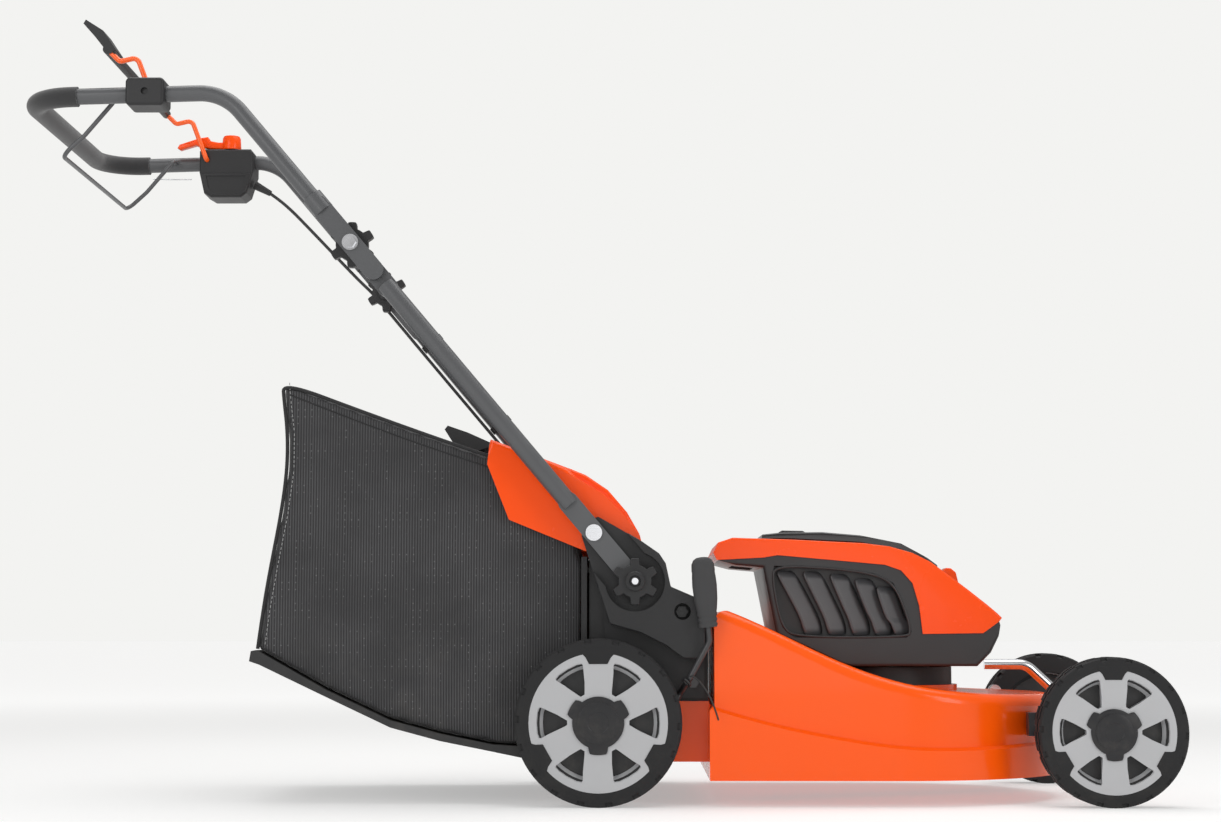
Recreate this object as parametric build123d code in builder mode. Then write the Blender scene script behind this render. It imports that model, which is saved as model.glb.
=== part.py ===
"""Battery walk-behind lawn mower with a rear grass collector, piece by piece, in millimetres.

X points forward, Y to the machine's left and Z up. The origin is on the ground, under the middle
of the machine's box. The machine is mirrored about the XZ plane except for its controls, its
height lever and its link rod, so most pairs are made by a loop over side = -1 (right) and +1 (left).
"""
import os
from math import atan2, cos, degrees, hypot, radians, sin, tan

from build123d import *

os.makedirs("parts", exist_ok=True)

# Wheels and axles
REAR_X, REAR_Z, REAR_R = 10, 100, 100
FRONT_X, FRONT_Z, FRONT_R = 622, 89, 89
WHEEL_IN, WHEEL_OUT = 195, 237
AXLE_R = 6
PIVOT_X, PIVOT_Z = 96, 110              # rear crank pivot, ahead of the rear axle
FRONT_PIVOT_X, FRONT_PIVOT_Z = 548, 97  # front crank pivots, behind the front axle
FIT = 0.08                              # radial running clearance

# Deck
BLADE_X = 374
DECK_R = 222
DECK_REAR = 143
DECK_BOTTOM = 31
STEP_IN = 6                             # the upper wall stands this far inside the skirt
SHEET = 2
WELL_R, WELL_Z = 95, 141                # flat seat of the motor
REAR_HALF = 175                         # half width of the deck behind the cutting chamber

# Handle
TILT_X, TILT_Z = 4.3, 327
KNOB_X, KNOB_Z = 54, 268
FOLD_X, FOLD_Z = -294, 682
CORNER_X, CORNER_Z = -453, 871
BAR_X, BAR_Z = -698.5, 864.5
TUBE_Y = 207
LOWER_R, UPPER_R, FOAM_R = 11, 10, 12.5
LEAN = degrees(atan2(FOLD_Z - TILT_Z, FOLD_X - TILT_X))   # direction of the lower tubes, from +X
FLAT_W, FLAT_T = 25, 8


def along(x, z, distance, aside=0.0):
    """Point that lies a distance up the handle from (x, z), and aside towards the front."""
    a = radians(LEAN)
    return x + distance * cos(a) + aside * sin(a), z + distance * sin(a) - aside * cos(a)


def at_y(y):
    """Side-view plane at a given y. Its extrusions run towards -Y."""
    return Plane.XZ.offset(-y)


def prism(points, half, wall=0):
    """Side-view outline of straight runs, drawn in by a wall and made 2 * half wide."""
    with BuildPart() as block:
        with BuildSketch(Plane.XZ.offset(-half)):
            Polygon(*points, align=None)
            if wall:
                offset(amount=-wall, kind=Kind.INTERSECTION)
        extrude(amount=2 * half)
    return block.part


def save(name, part):
    part.label = name
    export_step(part, f"parts/{name}.step")


def rod(points, radii, radius):
    """Round rod or tube wall along straight runs joined by tangent arcs."""
    with BuildPart() as bar:
        with BuildLine() as path:
            FilletPolyline(*points, radius=radii)
        with BuildSketch(Plane(path.line @ 0, z_dir=path.line % 0)):
            Circle(radius)
        sweep(path=path.line)
    return bar.part


def arm(a, b, end_r):
    """Flat crank arm between two side-view points."""
    angle = degrees(atan2(b[1] - a[1], b[0] - a[0]))
    length = hypot(b[0] - a[0], b[1] - a[1])
    with Locations(Location(((a[0] + b[0]) / 2, (a[1] + b[1]) / 2), angle)):
        SlotCenterToCenter(length, 2 * end_r)


def pegs(points, radius, y_from, y_to, bore=0):
    """Round pins or tubes along Y at side-view points."""
    with BuildPart() as peg:
        with BuildSketch(at_y(max(y_from, y_to))):
            with Locations(*points):
                Circle(radius)
                if bore:
                    Circle(bore, mode=Mode.SUBTRACT)
        extrude(amount=abs(y_to - y_from))
    return peg.part


# ------------------------------------------------------------------------------------- deck
def deck_plan(inset):
    """Plan of the cutting chamber: round at the front, straight sides and back."""
    half = DECK_R - inset
    rear = DECK_REAR + inset
    with BuildSketch() as plan:
        with Locations((BLADE_X, 0)):
            Circle(half)
        with Locations(((BLADE_X + rear) / 2, 0)):
            Rectangle(BLADE_X - rear, 2 * half)
        if rear > BLADE_X - half:
            with Locations((BLADE_X - DECK_R, 0)):
                Rectangle(2 * (rear - BLADE_X + DECK_R), 2 * DECK_R, mode=Mode.SUBTRACT)
    return plan.sketch


def under_curve(points, drop):
    """All that lies below a smooth side-view line, as a block wider than the deck."""
    with BuildPart() as block:
        with BuildSketch(at_y(300)):
            with BuildLine():
                curve = Spline(*[(x, z - drop) for x, z in points])
                Polyline(curve @ 1, (points[-1][0], 0), (points[0][0], 0), curve @ 0)
            make_face()
        extrude(amount=600)
    return block.part


CREST = [(130, 245), (219, 210), (310, 168), (379, 146), (440, 136), (620, 131)]
LEDGE = [(130, 126), (220, 100), (310, 82), (379, 73), (440, 71), (620, 76)]


def chamber(inset, floor, rounding):
    """Cutting chamber: skirt, sloping ledge and upper wall, as one filled form."""
    with BuildPart() as upper:
        add(deck_plan(STEP_IN + inset))
        extrude(amount=300)
        add(under_curve(CREST, inset), mode=Mode.INTERSECT)
        rim = upper.faces().sort_by(Axis.Z)[-1].edges()
        fillet(rim, rounding)
    with BuildPart() as skirt:
        add(deck_plan(inset))
        extrude(amount=200)
        add(under_curve(LEDGE, inset), mode=Mode.INTERSECT)
        rim = skirt.faces().sort_by(Axis.Z)[-1].edges()
        chamfer(rim, length=STEP_IN - 1, length2=STEP_IN + 2)
    with BuildPart() as form:
        add(upper.part)
        add(skirt.part)
        with Locations((BLADE_X, 0, 0)):
            Cylinder(WELL_R - inset, WELL_Z - inset, align=(Align.CENTER, Align.CENTER, Align.MIN))
        with Locations((BLADE_X, 0, WELL_Z - inset)):
            Cylinder(WELL_R + inset, 200, align=(Align.CENTER, Align.CENTER, Align.MIN),
                     mode=Mode.SUBTRACT)
        with Locations((0, 0, floor)):
            Box(2000, 1000, 400, align=(Align.CENTER, Align.CENTER, Align.MAX), mode=Mode.SUBTRACT)
    return form.part


BOLTS = [(111, 232), (124, 147)]         # bracket to chute
CHUTE_IN, CHUTE_WALL = 169, 3
CHUTE_FLOOR = [(146, 107), (106, 128), (-2, 139)]
CHUTE_ROOF = [(-2, 300), (60, 286), (146, 226)]

outer_form = chamber(0, DECK_BOTTOM, 14)
inner_form = chamber(SHEET, -10, 12)
with BuildPart() as deck_shell:
    add(outer_form)
    add(inner_form, mode=Mode.SUBTRACT)
    with Locations((BLADE_X, 0, WELL_Z)):
        Cylinder(20, 30, mode=Mode.SUBTRACT)
    with Locations((DECK_REAR, 0, (CHUTE_FLOOR[0][1] + CHUTE_ROOF[-1][1]) / 2)):
        Box(12, 2 * CHUTE_IN, CHUTE_ROOF[-1][1] - CHUTE_FLOOR[0][1], mode=Mode.SUBTRACT)
    for side in (-1, 1):
        with BuildSketch(at_y(side * (REAR_HALF - 1))):
            with BuildLine():
                Polyline((60, 60), (72, 51), (DECK_REAR + 1, 51), (DECK_REAR + 1, 124),
                         (60, 124), close=True)
            make_face()
            with Locations((PIVOT_X, PIVOT_Z)):
                Circle(10 + FIT, mode=Mode.SUBTRACT)
        extrude(amount=1, both=True)
save("deck_shell", deck_shell.part)

# Discharge chute from the chamber's back to the collector's mouth
with BuildPart() as discharge_chute:
    with BuildSketch(Plane.XZ):
        Polygon(*[(x, z - CHUTE_WALL) for x, z in CHUTE_FLOOR],
                *[(x, z + CHUTE_WALL) for x, z in CHUTE_ROOF], align=None)
    extrude(amount=CHUTE_IN + CHUTE_WALL, both=True)
    with BuildSketch(Plane.XZ):
        Polygon(*CHUTE_FLOOR, *CHUTE_ROOF, align=None)
        Polygon((140, 90), (160, 90), (160, 260), (140, 260), align=None)
        Polygon((-10, 139), (0, 139), (0, 300), (-10, 300), align=None)
    extrude(amount=CHUTE_IN, both=True, mode=Mode.SUBTRACT)
    with BuildSketch(Plane.XZ):
        Polygon((DECK_REAR - 0.3, 0), (200, 0), (200, 400), (DECK_REAR - 0.3, 400), align=None)
    extrude(amount=400, both=True, mode=Mode.SUBTRACT)
    for x, z in BOLTS:
        with BuildSketch(Plane.XZ):
            with Locations((x, z)):
                Circle(4.2)
        extrude(amount=300, both=True, mode=Mode.SUBTRACT)
save("discharge_chute", discharge_chute.part)

# ---------------------------------------------------------------------------- handle brackets
BRACKET_OUT, POCKET_Y, BRACKET_IN, PLATE_IN, PLATE_OUT = 216, 203, 187, 176, 182
BRACKET = [(-11, 324), (0, 342), (9, 347), (60, 318), (83, 302), (91, 290), (97, 262),
           (125, 250), (138, 240)]
HINGE_X, HINGE_Z = 56, 312               # rod of the rear flap


def handle_bracket(side):
    """Moulded bracket that carries the handle, the flap rod and the chute on one side."""
    with BuildPart() as bracket:
        with BuildSketch(at_y(side * BRACKET_OUT)):
            Polygon(*BRACKET, (138, 176), (112, 176), (90, 192), (60, 207), (24, 217), align=None)
        extrude(amount=side * (BRACKET_OUT - BRACKET_IN))
        fillet(bracket.edges().filter_by(Axis.Y), 3)
        fillet(bracket.faces().sort_by(Axis.Y)[0 if side < 0 else -1].edges(), 2)
        with BuildSketch(at_y(side * PLATE_IN)):
            Polygon((26, 128), (138, 128), (138, 240), (125, 250), (97, 262), (91, 290),
                    (20, 290), (14, 240), align=None)
        extrude(amount=-side * (PLATE_OUT - PLATE_IN))
        with BuildSketch(at_y(side * PLATE_OUT)):
            Polygon((24, 217), (60, 207), (90, 192), (112, 176), (138, 176), (138, 240),
                    (125, 250), (97, 262), (91, 290), (20, 290), (8, 270), align=None)
        extrude(amount=-side * (BRACKET_IN - PLATE_OUT + 1))
        # pocket for the handle's flat end and its knob
        with BuildSketch(at_y(side * POCKET_Y)):
            with Locations((KNOB_X, KNOB_Z)):
                Circle(36)
            with Locations(Location(along(TILT_X, TILT_Z, 30), LEAN)):
                Rectangle(215, 62)
        extrude(amount=-side * 40, mode=Mode.SUBTRACT)
        with BuildSketch(at_y(side * POCKET_Y)):
            with Locations((TILT_X, TILT_Z)):
                Circle(4.2)
            slot_r = hypot(KNOB_X - TILT_X, KNOB_Z - TILT_Z)
            slot_a = atan2(KNOB_Z - TILT_Z, KNOB_X - TILT_X)
            ends = [(TILT_X + slot_r * cos(slot_a + turn), TILT_Z + slot_r * sin(slot_a + turn))
                    for turn in (-radians(9), radians(9))]
            arm(*ends, 5.6)
        extrude(amount=side * 60, both=True, mode=Mode.SUBTRACT)
        for x, z in BOLTS:
            with BuildSketch(at_y(side * PLATE_OUT)):
                with Locations((x, z)):
                    Circle(10)
            extrude(amount=-side * 40, mode=Mode.SUBTRACT)
            with BuildSketch(Plane.XZ):
                with Locations((x, z)):
                    Circle(4.2)
            extrude(amount=300, both=True, mode=Mode.SUBTRACT)
        with BuildSketch(at_y(side * 193)):
            with Locations((HINGE_X, HINGE_Z)):
                Circle(3 + FIT)
        extrude(amount=side * 30, mode=Mode.SUBTRACT)
    return bracket.part


for side, name in ((-1, "right"), (1, "left")):
    save(f"handle_bracket_{name}", handle_bracket(side))

with BuildPart() as bracket_bolts:
    for side in (-1, 1):
        for x, z in BOLTS:
            with BuildSketch(at_y(side * 170)):
                with Locations((x, z)):
                    Circle(4)
            extrude(amount=-side * 18)
            with BuildSketch(at_y(side * (PLATE_OUT + 0.1))):
                with Locations((x, z)):
                    RegularPolygon(7.5, 6)
                    RegularPolygon(3, 6, mode=Mode.SUBTRACT)
            extrude(amount=-side * 6)
save("bracket_bolts", bracket_bolts.part)

# ---------------------------------------------------------------------------------- rear flap
FLAP_TOP = [(-123, 441), (-58, 417), (-29, 406), (-17, 393), (16, 373), (40, 349), (62, 321)]
FLAP_LOW = [(62, 303), (46, 300), (-7.5, 306), (-100, 344), (-127, 412)]
FLAP_HALF = 185

with BuildPart() as rear_flap:
    with BuildSketch(Plane.XZ):
        Polygon(*FLAP_TOP, *FLAP_LOW, align=None)
    extrude(amount=FLAP_HALF, both=True)
    with BuildSketch(Plane.XZ):
        Polygon((-150, 447), (-121.5, 438), (-60, 413.5), (-31, 402.5), (-19.5, 390), (13, 370.5),
                (37, 346.5), (55, 324), (48, 290), (-150, 290), align=None)
    extrude(amount=FLAP_HALF - 3, both=True, mode=Mode.SUBTRACT)
    with BuildSketch(Plane.XZ):
        with Locations((HINGE_X, HINGE_Z)):
            Circle(7.5)
    extrude(amount=FLAP_HALF, both=True)
    with BuildSketch(Plane.XZ):
        with Locations((HINGE_X, HINGE_Z)):
            Circle(3 + FIT)
    extrude(amount=FLAP_HALF + 1, both=True, mode=Mode.SUBTRACT)
save("rear_flap", rear_flap.part)

# ------------------------------------------------------------------------- collector
BAG_HALF = 178
BAG = [(-12, 142), (-12, 292), (-44, 398), (-382, 516), (-374, 405), (-399, 247), (-407, 186),
       (-322, 138), (-243, 101), (-183, 85), (-118, 72), (-85, 70), (-40, 128)]
with BuildPart() as collector_bag:
    with BuildSketch(Plane.XZ):
        Polygon(*BAG, align=None)
    extrude(amount=BAG_HALF, both=True)
    fillet(collector_bag.edges().filter_by(Axis.Y).filter_by(
        lambda e: e.center().X < -300), 14)
    add(prism(BAG, BAG_HALF - 4, 4), mode=Mode.SUBTRACT)
    add(prism([(-20, 147), (0, 147), (0, 288), (-20, 288)], BAG_HALF - 4), mode=Mode.SUBTRACT)
save("collector_bag", collector_bag.part)

with BuildPart() as mouth_frame:
    with BuildSketch(Plane.YZ.offset(-11.7)):
        with Locations((0, 219)):
            Rectangle(2 * BAG_HALF, 160)
            Rectangle(2 * BAG_HALF - 24, 140, mode=Mode.SUBTRACT)
    extrude(amount=7)

# The mouth frame and the hard rim under the bag are two mouldings
with BuildPart() as collector_frame:
    with BuildSketch(Plane.XZ):
        Polygon((-414, 184.5), (-416, 172), (-404, 168), (-322, 129), (-243, 92), (-183, 76),
                (-118, 63), (-84, 56), (-76, 62), (-85, 69.7), (-118, 71.7), (-183, 84.7),
                (-243, 100.7), (-322, 137.7), (-407, 185.7), align=None)
    extrude(amount=BAG_HALF + 3, both=True)
    add(mouth_frame.part)
save("collector_frame", collector_frame.part)

with BuildPart() as collector_handle:
    with BuildSketch(Plane.XZ):
        Polygon((-190, 466), (-186, 471), (-160, 462), (-132, 449.5), (-134, 443), (-150, 437.5),
                (-178, 447), align=None)
    extrude(amount=60, both=True)
    with BuildSketch(Plane.XZ):
        Polygon((-176, 461), (-166, 457), (-160, 462), (-186, 480), align=None)
        Polygon((-200, 440), (-148, 430), (-140, 443), (-182, 459), align=None)
    extrude(amount=46, both=True, mode=Mode.SUBTRACT)
save("collector_handle", collector_handle.part)

# ---------------------------------------------------------------- hood, battery and motor
HOOD_HALF = 115
HOOD_OUTLINE = [(152, 306), (158, 319), (176, 325), (250, 322), (340, 318), (392, 309), (424, 292),
                (470, 258), (511, 226), (508, 205), (412, 205), (404, 290), (216, 290), (156, 297)]
HOOD_BASE = [(214, 288), (229, 211), (240, 164), (486, 164), (507, 193), (506.5, 203), (410, 203),
             (402, 288)]


def shell_of(points, half, wall, rounding):
    """Extruded outline with rounded long edges, hollowed to a wall."""
    with BuildPart() as body:
        with BuildSketch(Plane.XZ):
            Polygon(*points, align=None)
        extrude(amount=half, both=True)
        fillet(body.faces().sort_by(Axis.Y)[0].edges() + body.faces().sort_by(Axis.Y)[-1].edges(),
               rounding)
        add(prism(points, half - wall - rounding / 2, wall), mode=Mode.SUBTRACT)
    return body.part


with BuildPart() as hood_seat:
    add(under_curve(CREST, -1.5))
    with Locations((BLADE_X, 0, WELL_Z)):
        Cylinder(WELL_R - 4, 300, align=(Align.CENTER, Align.CENTER, Align.MIN),
                 mode=Mode.SUBTRACT)

with BuildPart() as hood_base:
    add(shell_of(HOOD_BASE, HOOD_HALF - 4, 3, 6))
    with Locations((322, 0, 290)):
        Box(160, 2 * (HOOD_HALF - 14), 40, mode=Mode.SUBTRACT)
    add(hood_seat.part, mode=Mode.SUBTRACT)
    with Locations((BLADE_X, 0, 160)):
        Cylinder(66, 20, mode=Mode.SUBTRACT)
    # leaning slots of the two side vents
    for side in (-1, 1):
        with BuildSketch(at_y(side * (HOOD_HALF + 2))):
            for i in range(5):
                with Locations(Location((268 + 27 * i, 246, 0), 112)):
                    SlotOverall(56, 7)
        extrude(amount=side * 16, mode=Mode.SUBTRACT)
save("hood_base", hood_base.part)

LID_REAR, LID_FRONT, LID_HALF = 222, 450, 66
LID_X, LID_Z = 452, 286                  # hinge of the battery lid
LID_TOP = [(216, 331), (255, 332), (340, 328), (392, 319), (426, 300), (452, 281)]
with BuildPart() as hood_cover:
    with BuildSketch(Plane.XZ):
        Polygon(*HOOD_OUTLINE, align=None)
    extrude(amount=HOOD_HALF, both=True)
    fillet(hood_cover.faces().sort_by(Axis.Y)[0].edges().group_by(Axis.Z)[-1], 2)
    with BuildSketch(Plane.XZ):
        Polygon((160, 303), (163, 314), (178, 321), (250, 318.5), (340, 314.5), (390, 305.5),
                (422, 289), (468, 255), (507, 224), (505, 200), (415, 200), (408, 280), (219, 280),
                (219, 301), align=None)
    extrude(amount=HOOD_HALF - 4, both=True, mode=Mode.SUBTRACT)
    with BuildSketch(Plane.XY.offset(240)):
        with Locations(((LID_REAR + LID_FRONT - 12) / 2, 0)):
            Rectangle(LID_FRONT - LID_REAR - 28, 2 * LID_HALF - 16)
        with Locations((192, 0)):
            Rectangle(30, 110)
    extrude(amount=120, mode=Mode.SUBTRACT)
save("hood_cover", hood_cover.part)

with BuildPart() as battery_lid:
    with BuildSketch(Plane.XZ):
        Polygon(*LID_TOP, (449, 277), (424, 295.5), (391, 314), (340, 322.5), (255, 326.5),
                (216, 328), align=None)
    extrude(amount=LID_HALF, both=True)
    for side in (-1, 1):
        with Locations((LID_X, side * 50, 280)):
            Box(18, 34, 30, mode=Mode.SUBTRACT)
    add(pegs([(LID_X, LID_Z)], 5, -30, 30))
    add(pegs([(LID_X, LID_Z)], 2 + FIT, -70, 70), mode=Mode.SUBTRACT)
save("battery_lid", battery_lid.part)

# Rods that the rear flap and the battery lid turn on
with BuildPart() as hinge_rods:
    add(pegs([(HINGE_X, HINGE_Z)], 3, -192, 192))
    add(pegs([(LID_X, LID_Z)], 2, -40, 40))
    for side in (-1, 1):
        with BuildSketch(at_y(side * 40)):
            with Locations((LID_X, LID_Z - 5)):
                Rectangle(6, 14)
        extrude(amount=-side * 7)
save("hinge_rods", hinge_rods.part)

with BuildPart() as battery:
    with Locations((322, 0, 272)):
        Box(150, 96, 72)
    fillet(battery.edges().filter_by(Axis.X), 8)
    fillet(battery.faces().sort_by(Axis.X)[0].edges(), 3)
save("battery", battery.part)

with BuildPart() as controller:
    with Locations((455, 0, 214.5)):
        Box(44, 110, 21)
    with Locations((455, 0, 228)):
        with GridLocations(0, 12, 1, 8):
            Box(40, 3, 8)
save("controller", controller.part)

with BuildPart() as motor_base:
    with Locations((BLADE_X, 0, WELL_Z + 0.2)):
        Cylinder(88, 3, align=(Align.CENTER, Align.CENTER, Align.MIN))
        Cylinder(88, 22, align=(Align.CENTER, Align.CENTER, Align.MIN))
        Cylinder(82, 22, align=(Align.CENTER, Align.CENTER, Align.MIN), mode=Mode.SUBTRACT)
        Cylinder(83, 3, align=(Align.CENTER, Align.CENTER, Align.MIN))
        Cylinder(20, 3, align=(Align.CENTER, Align.CENTER, Align.MIN), mode=Mode.SUBTRACT)
    # shaft bearing, a separate ring in the deck's hole
    with Locations((BLADE_X, 0, 131)):
        Cylinder(19.8, 10, align=(Align.CENTER, Align.CENTER, Align.MIN))
        Cylinder(9 + FIT, 10, align=(Align.CENTER, Align.CENTER, Align.MIN), mode=Mode.SUBTRACT)
save("motor_base", motor_base.part)

with BuildPart() as motor_stator:
    with Locations((BLADE_X, 0, 146)):
        Cylinder(60, 50, align=(Align.CENTER, Align.CENTER, Align.MIN))
        Cylinder(31, 50, align=(Align.CENTER, Align.CENTER, Align.MIN), mode=Mode.SUBTRACT)
        with PolarLocations(50, 12):
            Cylinder(3, 50, align=(Align.CENTER, Align.CENTER, Align.MIN), mode=Mode.SUBTRACT)
save("motor_stator", motor_stator.part)

with BuildPart() as motor_rotor:
    with Locations((BLADE_X, 0, 152)):
        Cylinder(29.5, 40, align=(Align.CENTER, Align.CENTER, Align.MIN))
    with Locations((BLADE_X, 0, 62)):
        Cylinder(9, 134, align=(Align.CENTER, Align.CENTER, Align.MIN))
save("motor_rotor", motor_rotor.part)

BLADE_Z, BLADE_L, BLADE_W = 46, 416, 50
with BuildPart() as hub_collar:
    with Locations((BLADE_X, 0, BLADE_Z + 3)):
        Cylinder(26, 12, align=(Align.CENTER, Align.CENTER, Align.MIN))
        Cylinder(15, 34, align=(Align.CENTER, Align.CENTER, Align.MIN))
    with Locations((BLADE_X, 0, 62)):
        Cylinder(9, 60, align=(Align.CENTER, Align.CENTER, Align.MIN), mode=Mode.SUBTRACT)
    with Locations((BLADE_X, 0, 40)):
        Cylinder(5, 40, align=(Align.CENTER, Align.CENTER, Align.MIN), mode=Mode.SUBTRACT)
with BuildPart() as blade:
    with BuildSketch(Plane.XY.offset(BLADE_Z)):
        with Locations((BLADE_X, 0)):
            SlotOverall(BLADE_L, BLADE_W, rotation=25)
            Circle(5.2, mode=Mode.SUBTRACT)
    extrude(amount=3)
    with Locations(Location((BLADE_X, 0, 0), (0, 0, 25))):
        for turn in (1, -1):
            with Locations((turn * 155, turn * -19, BLADE_Z + 9)):
                Box(60, 4, 14)
save("blade", blade.part)

# The collar on the shaft and the bolt that holds the blade under it
with BuildPart() as blade_hub:
    add(hub_collar.part)
    with BuildSketch(Plane.XY.offset(BLADE_Z - 7)):
        with Locations((BLADE_X, 0)):
            RegularPolygon(9.8, 6)
    extrude(amount=7)
    with Locations((BLADE_X, 0, BLADE_Z)):
        Cylinder(4.9, 15, align=(Align.CENTER, Align.CENTER, Align.MIN))
save("blade_hub", blade_hub.part)

# Bright steel lifting handle over the deck's front
lift_handle = rod([(505, 0, 166), (559, 0, 166), (604, 0, 124)], 26, 6.5)
with BuildPart() as front_lift_handle:
    add(lift_handle)
    with BuildSketch(Plane.YZ.offset(598)):
        with Locations((0, 112)):
            RectangleRounded(46, 30, 4)
    extrude(amount=8)
save("front_lift_handle", front_lift_handle.part)

# ------------------------------------------------------------------ axles and height linkage
ARM_IN, ARM_OUT = 177, 183
LINK_Y, LINK_R, LINK_OUT, PIN_R = 189, 3.5, 230, 2.5
REAR_PIN_Z, FRONT_PIN_Z = PIVOT_Z - 35, FRONT_PIVOT_Z + 30


with BuildPart() as rear_crank:
    add(pegs([(PIVOT_X, PIVOT_Z)], 10, -ARM_OUT, ARM_OUT, 7))
    for side in (-1, 1):
        with BuildSketch(at_y(side * ARM_IN)):
            arm((REAR_X, REAR_Z), (PIVOT_X, PIVOT_Z), 13.5)
            if side > 0:
                arm((PIVOT_X, PIVOT_Z), (PIVOT_X, REAR_PIN_Z), 9)
            with Locations((REAR_X, REAR_Z)):
                Circle(9.9, mode=Mode.SUBTRACT)
        extrude(amount=-side * (ARM_OUT - ARM_IN))
    add(pegs([(PIVOT_X, REAR_PIN_Z)], PIN_R, ARM_OUT - 1, LINK_Y + LINK_R + 1))
save("rear_crank", rear_crank.part)

GEARBOX_Y = 30
with BuildPart() as rear_axle_tubes:
    for y_from, y_to in ((8 - WHEEL_IN, GEARBOX_Y - 37.1), (GEARBOX_Y + 37.1, WHEEL_IN - 8)):
        add(pegs([(REAR_X, REAR_Z)], 9.9, y_from, y_to, AXLE_R + FIT))
save("rear_axle_tubes", rear_axle_tubes.part)

with BuildPart() as drive_gearbox:
    with BuildSketch(at_y(GEARBOX_Y + 37)):
        with Locations((REAR_X, REAR_Z)):
            Circle(26)
        with Locations((REAR_X + 40, REAR_Z - 12)):
            Circle(20)
        with Locations((REAR_X + 20, REAR_Z - 8)):
            Rectangle(40, 34)
        with Locations((REAR_X, REAR_Z)):
            Circle(AXLE_R + FIT, mode=Mode.SUBTRACT)
    extrude(amount=74)
    fillet(drive_gearbox.faces().sort_by(Axis.Y)[0].outer_wire().edges(), 4)
    fillet(drive_gearbox.faces().sort_by(Axis.Y)[-1].outer_wire().edges(), 4)
save("drive_gearbox", drive_gearbox.part)

save("half_shaft_right", pegs([(REAR_X, REAR_Z)], AXLE_R, -WHEEL_OUT + 8, GEARBOX_Y - 1))
save("half_shaft_left", pegs([(REAR_X, REAR_Z)], AXLE_R, GEARBOX_Y + 1, WHEEL_OUT - 8))

LEVER_Y, LEVER_FOOT_Y = -229, -187.3
with BuildPart() as height_lever:
    add(rod([(PIVOT_X, LEVER_FOOT_Y, PIVOT_Z), (109, LEVER_FOOT_Y, 135), (119, LEVER_Y + 3, 152),
             (143, LEVER_Y, 196), (139, LEVER_Y, 240)], [7, 8, 14], LINK_R))
    add(pegs([(PIVOT_X, PIVOT_Z)], 9, -191.5, -ARM_OUT - 0.1))
save("height_lever", height_lever.part)

LEVER_LEAN = radians(5)
grip_axis = Vector(-sin(LEVER_LEAN), 0, cos(LEVER_LEAN))
grip_foot = Vector(143 - 17 * sin(LEVER_LEAN), LEVER_Y, 213)
with BuildPart() as height_lever_grip:
    with BuildSketch(Plane(grip_foot, x_dir=(0, 1, 0), z_dir=grip_axis)):
        RectangleRounded(15, 20, 6)
    extrude(amount=24)
    with BuildSketch(Plane(grip_foot + grip_axis * 22, x_dir=(0, 1, 0), z_dir=grip_axis)):
        RectangleRounded(16, 27, 7)
    extrude(amount=61)
    fillet(height_lever_grip.faces().sort_by(Axis.Z)[-1].edges(), 5)
    add(height_lever.part, mode=Mode.SUBTRACT)
save("height_lever_grip", height_lever_grip.part)

with BuildPart() as height_link:
    add(rod([(PIVOT_X - 4, LINK_Y, REAR_PIN_Z), (119, LINK_Y, REAR_PIN_Z + 2),
             (136, LINK_OUT, REAR_PIN_Z + 4), (430, LINK_OUT, FRONT_PIN_Z - 14),
             (524, LINK_Y, FRONT_PIN_Z - 3), (FRONT_PIVOT_X + 4, LINK_Y, FRONT_PIN_Z)],
            [7, 8, 60, 20], LINK_R))
    # the rear eye fits its pin; the front eye is wide, so that both axles can turn unequally
    for x, z, eye_r, hole_r in ((PIVOT_X, REAR_PIN_Z, 7, PIN_R + FIT),
                                (FRONT_PIVOT_X, FRONT_PIN_Z, 8.5, 5)):
        add(pegs([(x, z)], eye_r, LINK_Y - 3, LINK_Y + 3))
        add(pegs([(x, z)], hole_r, LINK_Y - 9, LINK_Y + 9), mode=Mode.SUBTRACT)
save("height_link", height_link.part)

with BuildPart() as front_axle:
    for side in (-1, 1):
        with BuildSketch(at_y(side * ARM_IN)):
            arm((FRONT_X, FRONT_Z), (FRONT_PIVOT_X, FRONT_PIVOT_Z), 11)
            if side > 0:
                arm((FRONT_PIVOT_X, FRONT_PIVOT_Z), (FRONT_PIVOT_X, FRONT_PIN_Z), 8)
            with Locations((FRONT_X, FRONT_Z)):
                Circle(AXLE_R, mode=Mode.SUBTRACT)
            with Locations((FRONT_PIVOT_X, FRONT_PIVOT_Z)):
                Circle(5 + FIT, mode=Mode.SUBTRACT)
        extrude(amount=-side * (ARM_OUT - ARM_IN))
    add(pegs([(FRONT_PIVOT_X, FRONT_PIN_Z)], PIN_R, ARM_OUT - 1, LINK_Y + LINK_R + 1))
    add(pegs([(FRONT_X, FRONT_Z)], AXLE_R, -WHEEL_OUT + 8, WHEEL_OUT - 8))
save("front_axle", front_axle.part)

with BuildPart() as front_axle_brackets:
    for side in (-1, 1):
        with BuildSketch(Plane.XY.offset(FRONT_PIVOT_Z - 15)):
            with Locations((FRONT_PIVOT_X, side * 154)):
                Rectangle(34, 42)
            with Locations((BLADE_X, 0)):
                Circle(DECK_R + 0.2, mode=Mode.SUBTRACT)
        extrude(amount=28)
        add(pegs([(FRONT_PIVOT_X, FRONT_PIVOT_Z)], 5, side * 170, side * (ARM_OUT + 3)))
        add(pegs([(FRONT_PIVOT_X, FRONT_PIVOT_Z)], 8, side * (ARM_OUT + 0.5), side * (ARM_OUT + 4)))
save("front_axle_brackets", front_axle_brackets.part)


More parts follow.
